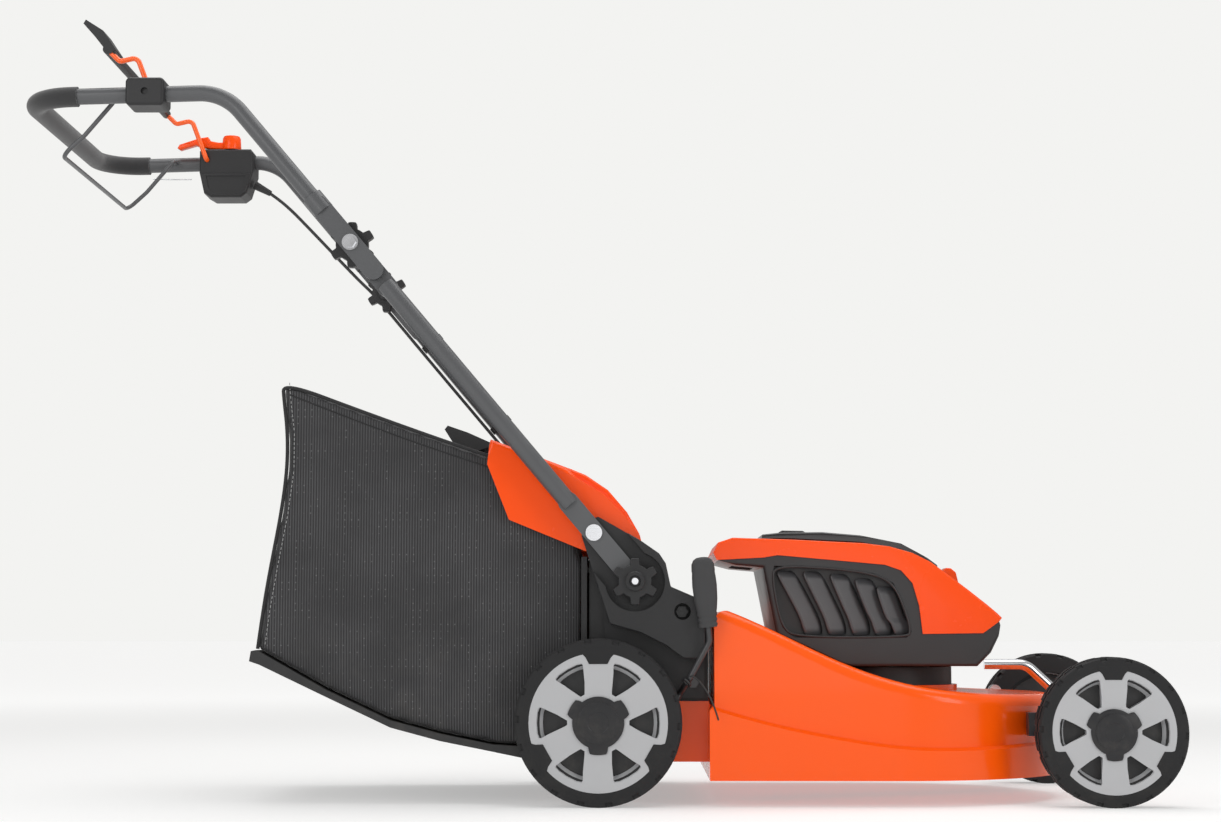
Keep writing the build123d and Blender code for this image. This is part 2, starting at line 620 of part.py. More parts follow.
# ------------------------------------------------------------------------------------ wheels
def wheel_parts(x, z, radius, side, place):
    """Tyre, spoked rim and centre cap of one wheel, about its axle line."""
    outer, inner = side * WHEEL_OUT, side * WHEEL_IN
    rim_r = radius - 16
    sign = -side
    with BuildPart() as tyre:
        with BuildSketch(at_y(inner)):
            with Locations((x, z)):
                Circle(radius)
                Circle(rim_r - 14, mode=Mode.SUBTRACT)
        extrude(amount=sign * (WHEEL_OUT - WHEEL_IN))
        for y in (inner, outer):
            fillet(tyre.edges().filter_by(GeomType.CIRCLE).filter_by(
                lambda e: abs(e.center().Y - y) < 0.1 and abs(e.radius - radius) < 0.1), 5)
        with BuildSketch(at_y(outer - side * 30)):
            with Locations((x, z)):
                Circle(rim_r + 0.1)
        extrude(amount=sign * 30, mode=Mode.SUBTRACT)
    save(f"tyre_{place}", tyre.part)
    with BuildPart() as rim:
        with BuildSketch(at_y(outer - side * 29.8)):
            with Locations((x, z)):
                Circle(rim_r)
                Circle(rim_r - 18, mode=Mode.SUBTRACT)
        extrude(amount=sign * 28)
        with BuildSketch(at_y(outer - side * 14)):
            with Locations((x, z)):
                with PolarLocations(rim_r / 2, 6, start_angle=30):
                    Rectangle(rim_r - 6, 30)
                Circle(rim_r * 0.45)
        extrude(amount=sign * 9)
        with BuildSketch(at_y(outer - side * 38)):
            with Locations((x, z)):
                Circle(17)
        extrude(amount=sign * 33)
        with BuildSketch(at_y(outer)):
            with Locations((x, z)):
                Circle(AXLE_R + (FIT if z == FRONT_Z else 0))
        extrude(amount=side * 60, mode=Mode.SUBTRACT)
    with BuildPart() as cap:
        with BuildSketch(at_y(outer - side * 4.8)):
            with Locations((x, z)):
                Circle(radius * 0.305)
                with PolarLocations(radius * 0.3, 3, start_angle=30):
                    RectangleRounded(radius * 0.16, radius * 0.24, 3)
        extrude(amount=sign * 4.2)
    with BuildPart() as capped_rim:
        add(rim.part)
        add(cap.part)
    save(f"rim_{place}", capped_rim.part)


for side, name in ((-1, "right"), (1, "left")):
    wheel_parts(REAR_X, REAR_Z, REAR_R, side, f"rear_{name}")
    wheel_parts(FRONT_X, FRONT_Z, FRONT_R, side, f"front_{name}")

# ------------------------------------------------------------------------------------ handle
FLAT_IN, FLAT_OUT = 204, 212            # flat lower ends lie in the bracket pockets
LOWER_FLAT_IN, LOWER_FLAT_OUT = 200, 208
TONGUE_IN, TONGUE_OUT = 208.3, 216
FOLD_LENGTH = hypot(FOLD_X - TILT_X, FOLD_Z - TILT_Z)


def bar_between(start, end, y_in, y_out, side, width):
    """Flat bar with round ends between two side-view points."""
    with BuildPart() as bar:
        with BuildSketch(at_y(side * y_in)):
            arm(start, end, width / 2)
        extrude(amount=-side * (y_out - y_in))
    return bar.part


def tube_between(start, end, side, radius, wall=1.8):
    """Round tube between two side-view points."""
    a = Vector(start[0], side * TUBE_Y, start[1])
    b = Vector(end[0], side * TUBE_Y, end[1])
    with BuildPart() as tube:
        with BuildSketch(Plane(a, z_dir=b - a)):
            Circle(radius)
            Circle(radius - wall, mode=Mode.SUBTRACT)
        extrude(amount=(b - a).length)
    return tube.part


KNOB_POINT = (KNOB_X, KNOB_Z)
TILT_POINT, FOLD_POINT = (TILT_X, TILT_Z), (FOLD_X, FOLD_Z)
with BuildPart() as lower_tubes:
    for side in (-1, 1):
        add(bar_between(KNOB_POINT, along(*TILT_POINT, 48), FLAT_IN, FLAT_OUT, side, FLAT_W))
        add(bar_between(along(*TILT_POINT, FOLD_LENGTH - 70), FOLD_POINT,
                        LOWER_FLAT_IN, LOWER_FLAT_OUT, side, FLAT_W))
        add(tube_between(along(*TILT_POINT, 44), along(*TILT_POINT, FOLD_LENGTH - 66),
                         side, LOWER_R))
        for point, hole in ((TILT_POINT, 4 + FIT), (KNOB_POINT, 4), (FOLD_POINT, 4 + FIT)):
            add(pegs([point], hole, side * 190, side * 230), mode=Mode.SUBTRACT)
save("lower_tubes", lower_tubes.part)

# Carriage bolts that the handle tilts on, and the clamping studs of its knobs
with BuildPart() as tilt_bolts:
    for side in (-1, 1):
        add(pegs([TILT_POINT], 4, side * 189, side * (FLAT_OUT + 0.2)))
        add(pegs([TILT_POINT], 10, side * (FLAT_OUT + 0.2), side * (FLAT_OUT + 3)))
        add(pegs([KNOB_POINT], 4, side * 191, side * 234))
save("tilt_bolts", tilt_bolts.part)

HANDLE_CORNER_R, PLAN_CORNER_R = 65, 57
handle_start = along(*FOLD_POINT, 52)
with BuildPart() as upper_tube:
    with BuildLine() as handle_line:
        FilletPolyline((handle_start[0], -TUBE_Y, handle_start[1]), (CORNER_X, -TUBE_Y, CORNER_Z),
                       (BAR_X, -TUBE_Y, BAR_Z), (BAR_X, TUBE_Y, BAR_Z), (CORNER_X, TUBE_Y, CORNER_Z),
                       (handle_start[0], TUBE_Y, handle_start[1]),
                       radius=[HANDLE_CORNER_R, PLAN_CORNER_R, PLAN_CORNER_R, HANDLE_CORNER_R])
    with BuildSketch(Plane(handle_line.line @ 0, z_dir=handle_line.line % 0)):
        Circle(UPPER_R)
        Circle(UPPER_R - 1.8, mode=Mode.SUBTRACT)
    sweep(path=handle_line.line)
    STOP_X, STOP_Z = -595, 867.3
    add(pegs([(STOP_X, STOP_Z)], 2.75 + FIT, -TUBE_Y + 2, TUBE_Y - 2), mode=Mode.SUBTRACT)
save("upper_tube", upper_tube.part)

with BuildPart() as fold_forks:
    for side in (-1, 1):
        add(bar_between(along(*FOLD_POINT, -44), along(*FOLD_POINT, 50),
                        TONGUE_IN, TONGUE_OUT, side, FLAT_W))
        add(tube_between(along(*FOLD_POINT, 52), along(*FOLD_POINT, 76), side, 13, 2.9))
        add(bar_between(along(*FOLD_POINT, 46), along(*FOLD_POINT, 62), TONGUE_IN + 2.5,
                        TONGUE_OUT, side, 22))
        add(pegs([FOLD_POINT], 4 + FIT, side * 190, side * 230), mode=Mode.SUBTRACT)
        add(tube_between(along(*FOLD_POINT, 51.9), along(*FOLD_POINT, 90), side, UPPER_R + 0.1,
                         UPPER_R), mode=Mode.SUBTRACT)
save("fold_forks", fold_forks.part)

with BuildPart() as fold_bolts:
    for side in (-1, 1):
        add(pegs([FOLD_POINT], 4, side * 184, side * (TONGUE_OUT + 0.2)))
        add(pegs([FOLD_POINT], 10, side * (TONGUE_OUT + 0.2), side * (TONGUE_OUT + 2.5)))
        with BuildSketch(at_y(side * (TONGUE_OUT + 2.5))):
            with Locations(FOLD_POINT):
                RegularPolygon(7.5, 6)
        extrude(amount=-side * 4.5)
save("fold_bolts", fold_bolts.part)

KNOB_R, KNOB_WAIST = 28, 20


def star_knob(point, y_face, direction):
    """Six-lobed clamping knob whose face lies at y_face and which stands out along direction."""
    with BuildPart() as knob:
        with BuildSketch(at_y(y_face)):
            with Locations(point):
                Circle(KNOB_WAIST)
                with PolarLocations(KNOB_R - 7, 6, start_angle=15):
                    Circle(7)
        extrude(amount=-direction * 13)
        fillet(knob.faces().sort_by(Axis.Y)[0 if direction < 0 else -1].edges(), 1.5)
        with BuildSketch(at_y(y_face)):
            with Locations(point):
                Circle(12)
        extrude(amount=-direction * 17)
        add(pegs([point], 4 + FIT, y_face - 40, y_face + 40), mode=Mode.SUBTRACT)
    return knob.part


for side, name in ((-1, "right"), (1, "left")):
    save(f"tilt_knob_{name}", star_knob(KNOB_POINT, side * (FLAT_OUT + 0.5), side))
    save(f"fold_knob_{name}", star_knob(FOLD_POINT, side * (LOWER_FLAT_IN - 0.5), -side))

GRIP_X = -640
GRIP_Z = BAR_Z + (CORNER_Z - BAR_Z) * (GRIP_X - BAR_X) / (CORNER_X - BAR_X)
with BuildPart() as foam_grip:
    with BuildLine() as grip_line:
        FilletPolyline((GRIP_X + 6, -TUBE_Y, GRIP_Z), (BAR_X, -TUBE_Y, BAR_Z),
                       (BAR_X, TUBE_Y, BAR_Z), (GRIP_X + 6, TUBE_Y, GRIP_Z), radius=PLAN_CORNER_R)
    with BuildSketch(Plane(grip_line.line @ 0, z_dir=grip_line.line % 0)):
        Circle(FOAM_R)
        Circle(UPPER_R + 0.2, mode=Mode.SUBTRACT)
    sweep(path=grip_line.line)
save("foam_grip", foam_grip.part)

# ---------------------------------------------------------------------------------- controls
BAIL_X, BAIL_Z = -548, 869


def tube_passage(x_from, x_to):
    """Filled stretch of the handle's near-level tubes, for clearing housings round them."""
    with BuildPart() as passage:
        for side in (-1, 1):
            slope = (CORNER_Z - BAR_Z) / (CORNER_X - BAR_X)
            a = Vector(x_from, side * TUBE_Y, BAR_Z + (x_from - BAR_X) * slope)
            b = Vector(x_to, side * TUBE_Y, BAR_Z + (x_to - BAR_X) * slope)
            with BuildSketch(Plane(a, z_dir=b - a)):
                Circle(UPPER_R + 0.1)
            extrude(amount=(b - a).length)
    return passage.part


with BuildPart() as bail_clamp:
    with BuildSketch(at_y(-184)):
        with Locations((-548, BAIL_Z)):
            RectangleRounded(48, 35, 6)
    extrude(amount=42)
    fillet(bail_clamp.faces().sort_by(Axis.Y)[0].edges(), 4)
    add(tube_passage(-600, -500), mode=Mode.SUBTRACT)
    add(pegs([(BAIL_X, BAIL_Z)], 3.25 + FIT, -160, -193), mode=Mode.SUBTRACT)
    add(pegs([(BAIL_X, BAIL_Z)], 4.5, -222, -240), mode=Mode.SUBTRACT)
save("bail_clamp", bail_clamp.part)

with BuildPart() as control_box:
    with BuildSketch(at_y(232)):
        Polygon((-559, 882), (-555, 885), (-487, 885), (-483, 880), (-483, 852), (-492, 822),
                (-500, 816), (-542, 816), (-552, 822), (-559, 852), align=None)
    extrude(amount=52)
    fillet(control_box.faces().sort_by(Axis.Y)[0].edges(), 4)
    fillet(control_box.faces().sort_by(Axis.Y)[-1].edges(), 4)
    add(tube_passage(-600, -440), mode=Mode.SUBTRACT)
    add(pegs([(BAIL_X, BAIL_Z)], 3.25 + FIT, 160, 190), mode=Mode.SUBTRACT)
    with Locations((-516, 194, 885)):
        Cylinder(5 + FIT, 30, mode=Mode.SUBTRACT)
    with Locations((-500, 216, 885)):
        Cylinder(6.3, 12, mode=Mode.SUBTRACT)
save("control_box", control_box.part)

with BuildPart() as speed_lever:
    with BuildSketch(Plane.XY.offset(885.5)):
        with Locations((-516, 194)):
            Circle(13)
        Polygon((-514, 181), (-590, 190), (-592, 198), (-514, 207), align=None)
    extrude(amount=12)
    with Locations((-516, 194, 878)):
        Cylinder(5, 7.5, align=(Align.CENTER, Align.CENTER, Align.MIN))
    with Locations((-516, 194, 897)):
        Cylinder(10, 8, align=(Align.CENTER, Align.CENTER, Align.MIN))
save("speed_lever", speed_lever.part)

with BuildPart() as start_button:
    with Locations((-500, 216, 882.6)):
        Cylinder(6, 6.4, align=(Align.CENTER, Align.CENTER, Align.MIN))
    fillet(start_button.faces().sort_by(Axis.Z)[-1].edges(), 1)
save("start_button", start_button.part)

ARM_Y, WIRE_R = 174, 3.25
with BuildPart() as drive_bail_arms:
    for side, seat in ((-1, -191), (1, 188)):
        add(rod([(BAIL_X, seat, BAIL_Z), (BAIL_X, side * ARM_Y, BAIL_Z), (-569, side * ARM_Y, 924),
                 (-591, side * ARM_Y, 919), (-602, side * ARM_Y, 930)], [5, 8, 6], WIRE_R))
save("drive_bail_arms", drive_bail_arms.part)

with BuildPart() as drive_bail_bar:
    add(pegs([(-606, 934)], 6, -ARM_Y - 4, ARM_Y + 4))
    with BuildSketch(at_y(-ARM_Y + 40)):
        Polygon((-602, 928), (-596, 934), (-612, 958), (-634, 972), (-637, 967), (-618, 948),
                align=None)
    extrude(amount=44)
    add(drive_bail_arms.part, mode=Mode.SUBTRACT)
save("drive_bail_bar", drive_bail_bar.part)

STOP_Y, STOP_R = 180, 2.75
save("stop_bail", rod([(STOP_X, -202, STOP_Z), (STOP_X, -STOP_Y, STOP_Z), (-632, -STOP_Y, 823),
                       (-659, -STOP_Y, 798), (-659, STOP_Y, 798), (-632, STOP_Y, 823),
                       (STOP_X, STOP_Y, STOP_Z), (STOP_X, 202, STOP_Z)],
                      [6, 40, 14, 14, 40, 6], STOP_R))

# ------------------------------------------------------------------------------------- cable
CABLE_R, CABLE_GAP = 2.25, 13.6
relief = [(-484, TUBE_Y, 838), (-462, TUBE_Y, 826)]
with BuildPart() as strain_relief:
    start, end = Vector(*relief[0]), Vector(*relief[1])
    with BuildSketch(Plane(start, z_dir=end - start)):
        Circle(6)
    with BuildSketch(Plane(end, z_dir=end - start)):
        Circle(4)
    loft()
    with BuildSketch(Plane(start, z_dir=start - end)):
        Circle(5)
    extrude(amount=0.5)
save("strain_relief", strain_relief.part)

CABLE_Y, CABLE_ASIDE = 202.3, -15.8


def cable_point(distance, aside=CABLE_ASIDE, y=CABLE_Y):
    """Cable point beside the handle, measured up from the fold pivot."""
    x, z = along(*FOLD_POINT, distance, aside)
    return (x, y, z)


def cable(points):
    """Cable along chosen points, each corner an arc as large as its two runs allow."""
    radii = []
    for before, here, after in zip(points, points[1:], points[2:]):
        run_in, run_out = Vector(*here) - Vector(*before), Vector(*after) - Vector(*here)
        turn = radians(run_in.get_angle(run_out))
        radii.append(0.45 * min(run_in.length, run_out.length) / tan(turn / 2))
    print("cable radii", [round(r) for r in radii])
    return rod(points, radii, CABLE_R)


UPPER_CABLE = [(-461.6, TUBE_Y, 825.8), (-436, 206.5, 806), (-402, 206, 771), (-362, 205.2, 729),
               (-330, 204, 697), cable_point(12.5)]
LOWER_CABLE = [cable_point(11.5), cable_point(-30, CABLE_ASIDE + 0.3), cable_point(-95),
               cable_point(-250, CABLE_ASIDE + 0.4), cable_point(-400, CABLE_ASIDE, 201.5),
               cable_point(-437, CABLE_ASIDE + 1.5, 198.5)]
save("control_cable_upper", cable(UPPER_CABLE))
save("control_cable_lower", cable(LOWER_CABLE))

with BuildPart() as cable_clips:
    for distance in (-100, -250):
        centre = Vector(*cable_point(distance, 0, TUBE_Y))
        up = Vector(cos(radians(LEAN)), 0, sin(radians(LEAN)))
        with BuildSketch(Plane(centre, x_dir=(0, 1, 0), z_dir=up)):
            Circle(LOWER_R + 2)
            with Locations((CABLE_Y - TUBE_Y, CABLE_ASIDE + 0.2)):
                Circle(CABLE_R + 1.6)
            with Locations((CABLE_Y - TUBE_Y, CABLE_ASIDE + 0.2)):
                Circle(CABLE_R + 0.4, mode=Mode.SUBTRACT)
            Circle(LOWER_R + 0.05, mode=Mode.SUBTRACT)
        extrude(amount=9)
save("cable_clips", cable_clips.part)
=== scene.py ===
"""Looks of the battery lawn mower: finishes on its metal and plastic parts, and the detailed pieces.

Shapes are drawn in millimetres in the machine's own frame (X forward, Y left, Z up) and turned into
metres when each piece is made.
"""
from math import atan2, cos, degrees, hypot, pi, radians, sin

import bmesh
import bpy
from mathutils import Matrix, Vector


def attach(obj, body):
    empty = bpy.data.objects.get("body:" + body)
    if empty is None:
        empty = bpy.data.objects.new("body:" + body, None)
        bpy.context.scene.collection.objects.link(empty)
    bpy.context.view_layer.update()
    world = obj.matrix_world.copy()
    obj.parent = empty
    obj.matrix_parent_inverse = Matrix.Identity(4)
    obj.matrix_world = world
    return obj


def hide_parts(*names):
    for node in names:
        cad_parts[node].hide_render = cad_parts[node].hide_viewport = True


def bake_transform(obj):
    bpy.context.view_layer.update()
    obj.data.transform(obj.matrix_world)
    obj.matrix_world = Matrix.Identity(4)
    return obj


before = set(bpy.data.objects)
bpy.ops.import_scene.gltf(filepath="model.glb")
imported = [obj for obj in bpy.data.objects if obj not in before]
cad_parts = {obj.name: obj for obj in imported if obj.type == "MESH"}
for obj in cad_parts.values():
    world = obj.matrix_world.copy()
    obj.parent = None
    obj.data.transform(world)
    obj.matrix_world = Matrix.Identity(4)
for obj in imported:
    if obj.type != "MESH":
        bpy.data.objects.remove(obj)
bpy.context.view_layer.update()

MM = 0.001


# ---------------------------------------------------------------------------------- finishes
def screen(red, green, blue):
    """Linear colour of three 0-255 values."""
    return tuple(((c / 255 + 0.055) / 1.055) ** 2.4 for c in (red, green, blue)) + (1.0,)


def effect(name, inputs, outputs):
    """Node group with number inputs and number outputs, and its two end nodes."""
    group = bpy.data.node_groups.new(name, "ShaderNodeTree")
    for label, value in inputs.items():
        group.interface.new_socket(label, in_out="INPUT", socket_type="NodeSocketFloat").default_value = value
    for label in outputs:
        group.interface.new_socket(label, in_out="OUTPUT", socket_type="NodeSocketFloat")
    return group, group.nodes.new("NodeGroupInput"), group.nodes.new("NodeGroupOutput")


def noise(tree, vector, scale, detail=3.0, roughness=0.55):
    node = tree.nodes.new("ShaderNodeTexNoise")
    node.inputs["Detail"].default_value = detail
    node.inputs["Roughness"].default_value = roughness
    tree.links.new(vector, node.inputs["Vector"])
    if isinstance(scale, (int, float)):
        node.inputs["Scale"].default_value = scale
    else:
        tree.links.new(scale, node.inputs["Scale"])
    return node.outputs["Fac"]


def sum_of(tree, kind, a, b=None, clamp=False):
    """One Math node of the given kind on sockets or numbers."""
    node = tree.nodes.new("ShaderNodeMath")
    node.operation = kind
    node.use_clamp = clamp
    for socket, value in zip(node.inputs, (a, b)):
        if value is None:
            continue
        if isinstance(value, (int, float)):
            socket.default_value = value
        else:
            tree.links.new(value, socket)
    return node.outputs["Value"]


def between(tree, value, low, high, to_low=0.0, to_high=1.0):
    node = tree.nodes.new("ShaderNodeMapRange")
    node.interpolation_type = "SMOOTHSTEP"
    tree.links.new(value, node.inputs["Value"])
    for label, number in (("From Min", low), ("From Max", high), ("To Min", to_low), ("To Max", to_high)):
        if isinstance(number, (int, float)):
            node.inputs[label].default_value = number
        else:
            tree.links.new(number, node.inputs[label])
    return node.outputs["Result"]


def object_place(tree):
    return tree.nodes.new("ShaderNodeTexCoord").outputs["Object"]


def moulded_grain():
    """Fine texture of a moulded surface, and its broad cloudy unevenness."""
    group, ends, out = effect("moulded_grain", {"Scale": 900.0}, ("Height", "Cloud"))
    place = object_place(group)
    group.links.new(noise(group, place, ends.outputs["Scale"], 2.0), out.inputs["Height"])
    group.links.new(noise(group, place, 14.0, 4.0, 0.6), out.inputs["Cloud"])
    return group


def ground_dust():
    """Dust that gathers low on the machine and on faces that look up."""
    group, ends, out = effect("ground_dust", {"Amount": 0.3, "Reach": 0.25}, ("Mask",))
    place = object_place(group)
    parts = group.nodes.new("ShaderNodeSeparateXYZ")
    group.links.new(place, parts.inputs[0])
    low = between(group, parts.outputs["Z"], 0.0, ends.outputs["Reach"], 1.0, 0.0)
    patches = between(group, noise(group, place, 38.0, 6.0, 0.7), 0.42, 0.72)
    facing = group.nodes.new("ShaderNodeSeparateXYZ")
    group.links.new(group.nodes.new("ShaderNodeNewGeometry").outputs["Normal"], facing.inputs[0])
    upward = between(group, facing.outputs["Z"], 0.3, 1.0, 0.25, 1.0)
    mask = sum_of(group, "MULTIPLY", sum_of(group, "MULTIPLY", low, patches), upward)
    group.links.new(sum_of(group, "MULTIPLY", mask, ends.outputs["Amount"], True), out.inputs["Mask"])
    return group


def fine_scuffs():
    """Thin worn streaks, as handling leaves on paint and plastic."""
    group, ends, out = effect("fine_scuffs", {"Amount": 0.3, "Scale": 60.0}, ("Mask",))
    turn = group.nodes.new("ShaderNodeMapping")
    turn.inputs["Rotation"].default_value = (0.4, 0.7, 0.2)
    turn.inputs["Scale"].default_value = (1.0, 7.0, 2.2)
    group.links.new(object_place(group), turn.inputs["Vector"])
    streaks = noise(group, turn.outputs["Vector"], ends.outputs["Scale"], 5.0, 0.75)
    where = between(group, noise(group, object_place(group), 9.0), 0.5, 0.7)
    mask = sum_of(group, "MULTIPLY", between(group, streaks, 0.62, 0.7), where)
    group.links.new(sum_of(group, "MULTIPLY", mask, ends.outputs["Amount"], True), out.inputs["Mask"])
    return group


def ribbed_cloth():
    """Upright cords of a woven mesh with small bright knots, on panels that face any way. Shade is painted shade:
    dark in the grooves between cords, light on their crowns, with a random cloudy tone.
    """
    group, ends, out = effect("ribbed_cloth", {"Pitch": 0.0033, "Knots": 0.0085}, ("Height", "Shade", "Knots"))
    place = object_place(group)
    parts = group.nodes.new("ShaderNodeSeparateXYZ")
    group.links.new(place, parts.inputs[0])
    facing = group.nodes.new("ShaderNodeSeparateXYZ")
    group.links.new(group.nodes.new("ShaderNodeNewGeometry").outputs["Normal"], facing.inputs[0])
    sideways = between(group, sum_of(group, "ABSOLUTE", facing.outputs["Y"]), 0.6, 0.8)
    across = group.nodes.new("ShaderNodeMix")
    group.links.new(sideways, across.inputs["Factor"])
    group.links.new(parts.outputs["Y"], across.inputs["A"])
    group.links.new(parts.outputs["X"], across.inputs["B"])
    turns = sum_of(group, "DIVIDE", across.outputs["Result"], ends.outputs["Pitch"])
    wave = sum_of(group, "SINE", sum_of(group, "MULTIPLY", turns, 2 * pi))
    ribs = sum_of(group, "MULTIPLY_ADD", wave, 0.5)
    ribs.node.inputs[2].default_value = 0.5
    group.links.new(ribs, out.inputs["Height"])
    cloud = noise(group, place, 11.0, 4.0, 0.6)
    # painted shade: the colour goes dark in each groove and light on each cord's crown, times a random cloudy tone
    shade = sum_of(group, "MULTIPLY", ribs, between(group, cloud, 0.3, 0.7, 0.55, 1.0))
    group.links.new(shade, out.inputs["Shade"])
    column = sum_of(group, "FRACT", sum_of(group, "DIVIDE", across.outputs["Result"], ends.outputs["Knots"]))
    row = sum_of(group, "FRACT", sum_of(group, "DIVIDE", parts.outputs["Z"], ends.outputs["Knots"]))
    spot = None
    for value in (column, row):
        off = sum_of(group, "ABSOLUTE", sum_of(group, "SUBTRACT", value, 0.5))
        here = between(group, off, 0.06, 0.12, 1.0, 0.0)
        spot = here if spot is None else sum_of(group, "MULTIPLY", spot, here)
    patchy = between(group, noise(group, place, 45.0, 3.0), 0.48, 0.62)
    group.links.new(sum_of(group, "MULTIPLY", spot, patchy), out.inputs["Knots"])
    return group


def brushed_lines():
    """Fine lines left by polishing along the machine."""
    group, ends, out = effect("brushed_lines", {"Scale": 500.0}, ("Height", "Cloud"))
    stretch = group.nodes.new("ShaderNodeMapping")
    stretch.inputs["Scale"].default_value = (0.03, 1.0, 1.0)
    group.links.new(object_place(group), stretch.inputs["Vector"])
    group.links.new(noise(group, stretch.outputs["Vector"], ends.outputs["Scale"], 2.0), out.inputs["Height"])
    group.links.new(noise(group, object_place(group), 22.0, 3.0), out.inputs["Cloud"])
    return group


GRAIN, DUST, SCUFFS = moulded_grain(), ground_dust(), fine_scuffs()
CLOTH, LINES = ribbed_cloth(), brushed_lines()
DUST_COLOUR = screen(150, 143, 130)


def placed(tree, group, **values):
    node = tree.nodes.new("ShaderNodeGroup")
    node.node_tree = group
    for label, value in values.items():
        node.inputs[label].default_value = value
    return node


def tint(tree, factor, a, b):
    """Colour mix of a into b by a factor socket. a and b are colours or sockets."""
    node = tree.nodes.new("ShaderNodeMix")
    node.data_type = "RGBA"
    tree.links.new(factor, node.inputs["Factor"])
    for socket, value in ((node.inputs[6], a), (node.inputs[7], b)):
        if isinstance(value, tuple):
            socket.default_value = value
        else:
            tree.links.new(value, socket)
    return node.outputs[2]


def shaded(colour, factor):
    return tuple(min(1.0, c * factor) for c in colour[:3]) + (1.0,)


def finish(name, colour, rough, metallic=0.0, coat=0.0, grain=900.0, depth=0.05, vary=0.12, dust=0.3,
           scuff=0.1, reach=0.25, base=GRAIN, sheen=0.0, shine=0.5):
    """Surface with grain, cloudy tone, scuffs and ground dust in the amounts given."""
    material = bpy.data.materials.new(name)
    material.use_nodes = True
    tree = material.node_tree
    shader = tree.nodes["Principled BSDF"]
    texture = placed(tree, base, Scale=grain)
    tone = tint(tree, texture.outputs["Cloud"], shaded(colour, 1 - vary), shaded(colour, 1 + vary))
    marks = placed(tree, SCUFFS, Amount=scuff)
    tone = tint(tree, marks.outputs["Mask"], tone, shaded(colour, 1.6) if not metallic else shaded(colour, 0.6))
    dirt = placed(tree, DUST, Amount=dust, Reach=reach)
    tone = tint(tree, dirt.outputs["Mask"], tone, DUST_COLOUR)
    tree.links.new(tone, shader.inputs["Base Color"])
    worn = sum_of(tree, "MULTIPLY_ADD", marks.outputs["Mask"], 0.25)
    worn.node.inputs[2].default_value = rough
    cloudy = between(tree, texture.outputs["Cloud"], 0.3, 0.7, -0.03, 0.04)
    rough_now = sum_of(tree, "ADD", worn, cloudy)
    dusty = sum_of(tree, "MULTIPLY", dirt.outputs["Mask"], 0.5)
    tree.links.new(sum_of(tree, "ADD", rough_now, dusty, True), shader.inputs["Roughness"])
    shader.inputs["Metallic"].default_value = metallic
    shader.inputs["Coat Weight"].default_value = coat
    shader.inputs["Coat Roughness"].default_value = 0.04
    shader.inputs["Sheen Weight"].default_value = sheen
    shader.inputs["Specular IOR Level"].default_value = shine
    bump = tree.nodes.new("ShaderNodeBump")
    bump.inputs["Strength"].default_value = depth
    bump.inputs["Distance"].default_value = 0.0006
    tree.links.new(texture.outputs["Height"], bump.inputs["Height"])
    tree.links.new(bump.outputs["Normal"], shader.inputs["Normal"])
    return material


def cloth_finish(name, dark, light, knots, rough):
    """Ribbed mesh cloth of the collector."""
    material = bpy.data.materials.new(name)
    material.use_nodes = True
    tree = material.node_tree
    shader = tree.nodes["Principled BSDF"]
    weave = placed(tree, CLOTH)
    # dark is the painted shade in the grooves between cords, light the cords' crowns
    tone = tint(tree, weave.outputs["Shade"], dark, light)
    tone = tint(tree, sum_of(tree, "MULTIPLY", weave.outputs["Knots"], 0.3), tone, knots)
    dirt = placed(tree, DUST, Amount=0.25, Reach=0.3)
    tone = tint(tree, dirt.outputs["Mask"], tone, DUST_COLOUR)
    tree.links.new(tone, shader.inputs["Base Color"])
    tree.links.new(between(tree, weave.outputs["Shade"], 0.0, 1.0, rough + 0.08, rough - 0.06),
                   shader.inputs["Roughness"])
    shader.inputs["Sheen Weight"].default_value = 0.25
    shader.inputs["Sheen Roughness"].default_value = 0.4
    bump = tree.nodes.new("ShaderNodeBump")
    bump.inputs["Strength"].default_value = 0.55
    bump.inputs["Distance"].default_value = 0.0008
    tree.links.new(weave.outputs["Height"], bump.inputs["Height"])
    tree.links.new(bump.outputs["Normal"], shader.inputs["Normal"])
    return material


orange_enamel = finish("orange_enamel", screen(250, 88, 0), 0.22, coat=0.15, grain=260, depth=0.012,
                       vary=0.02, dust=0.1, scuff=0.03, reach=0.08, shine=0.25)
orange_moulding = finish("orange_moulding", screen(250, 79, 0), 0.25, coat=0.1, grain=420, depth=0.02,
                         vary=0.015, dust=0.0, scuff=0.01, shine=0.25)
orange_dip = finish("orange_dip", screen(255, 96, 14), 0.34, coat=0.3, grain=600, depth=0.04, vary=0.04, dust=0.0,
                    scuff=0.08)
grey_moulding = finish("grey_moulding", screen(40, 40, 41), 0.46, grain=1400, depth=0.12, vary=0.1, shine=0.35)
hood_grey = finish("hood_grey", screen(48, 48, 49), 0.34, grain=900, depth=0.05, vary=0.08, dust=0.1, shine=0.4)
# Vent slats of the housing's own dark plastic, given a lighter grey than hood_grey as painted light that the vanes
# catch
lit_vane_grey = finish("lit_vane_grey", screen(70, 70, 72), 0.4, grain=900, depth=0.05, vary=0.06, dust=0.1)
black_moulding = finish("black_moulding", screen(34, 34, 35), 0.5, grain=1300, depth=0.14, vary=0.14)
lid_black = finish("lid_black", screen(22, 22, 23), 0.22, coat=0.3, grain=500, depth=0.015, vary=0.05, dust=0.0)
lever_rubber = finish("lever_rubber", screen(58, 58, 59), 0.74, grain=1500, depth=0.55, vary=0.15)
tube_coat = finish("tube_coat", screen(80, 81, 83), 0.38, coat=0.1, grain=1100, depth=0.02, vary=0.05, dust=0.1,
                   scuff=0.0)
grip_foam = finish("grip_foam", screen(46, 46, 47), 0.88, grain=700, depth=0.6, vary=0.18, dust=0.0,
                   scuff=0.1, sheen=0.3)
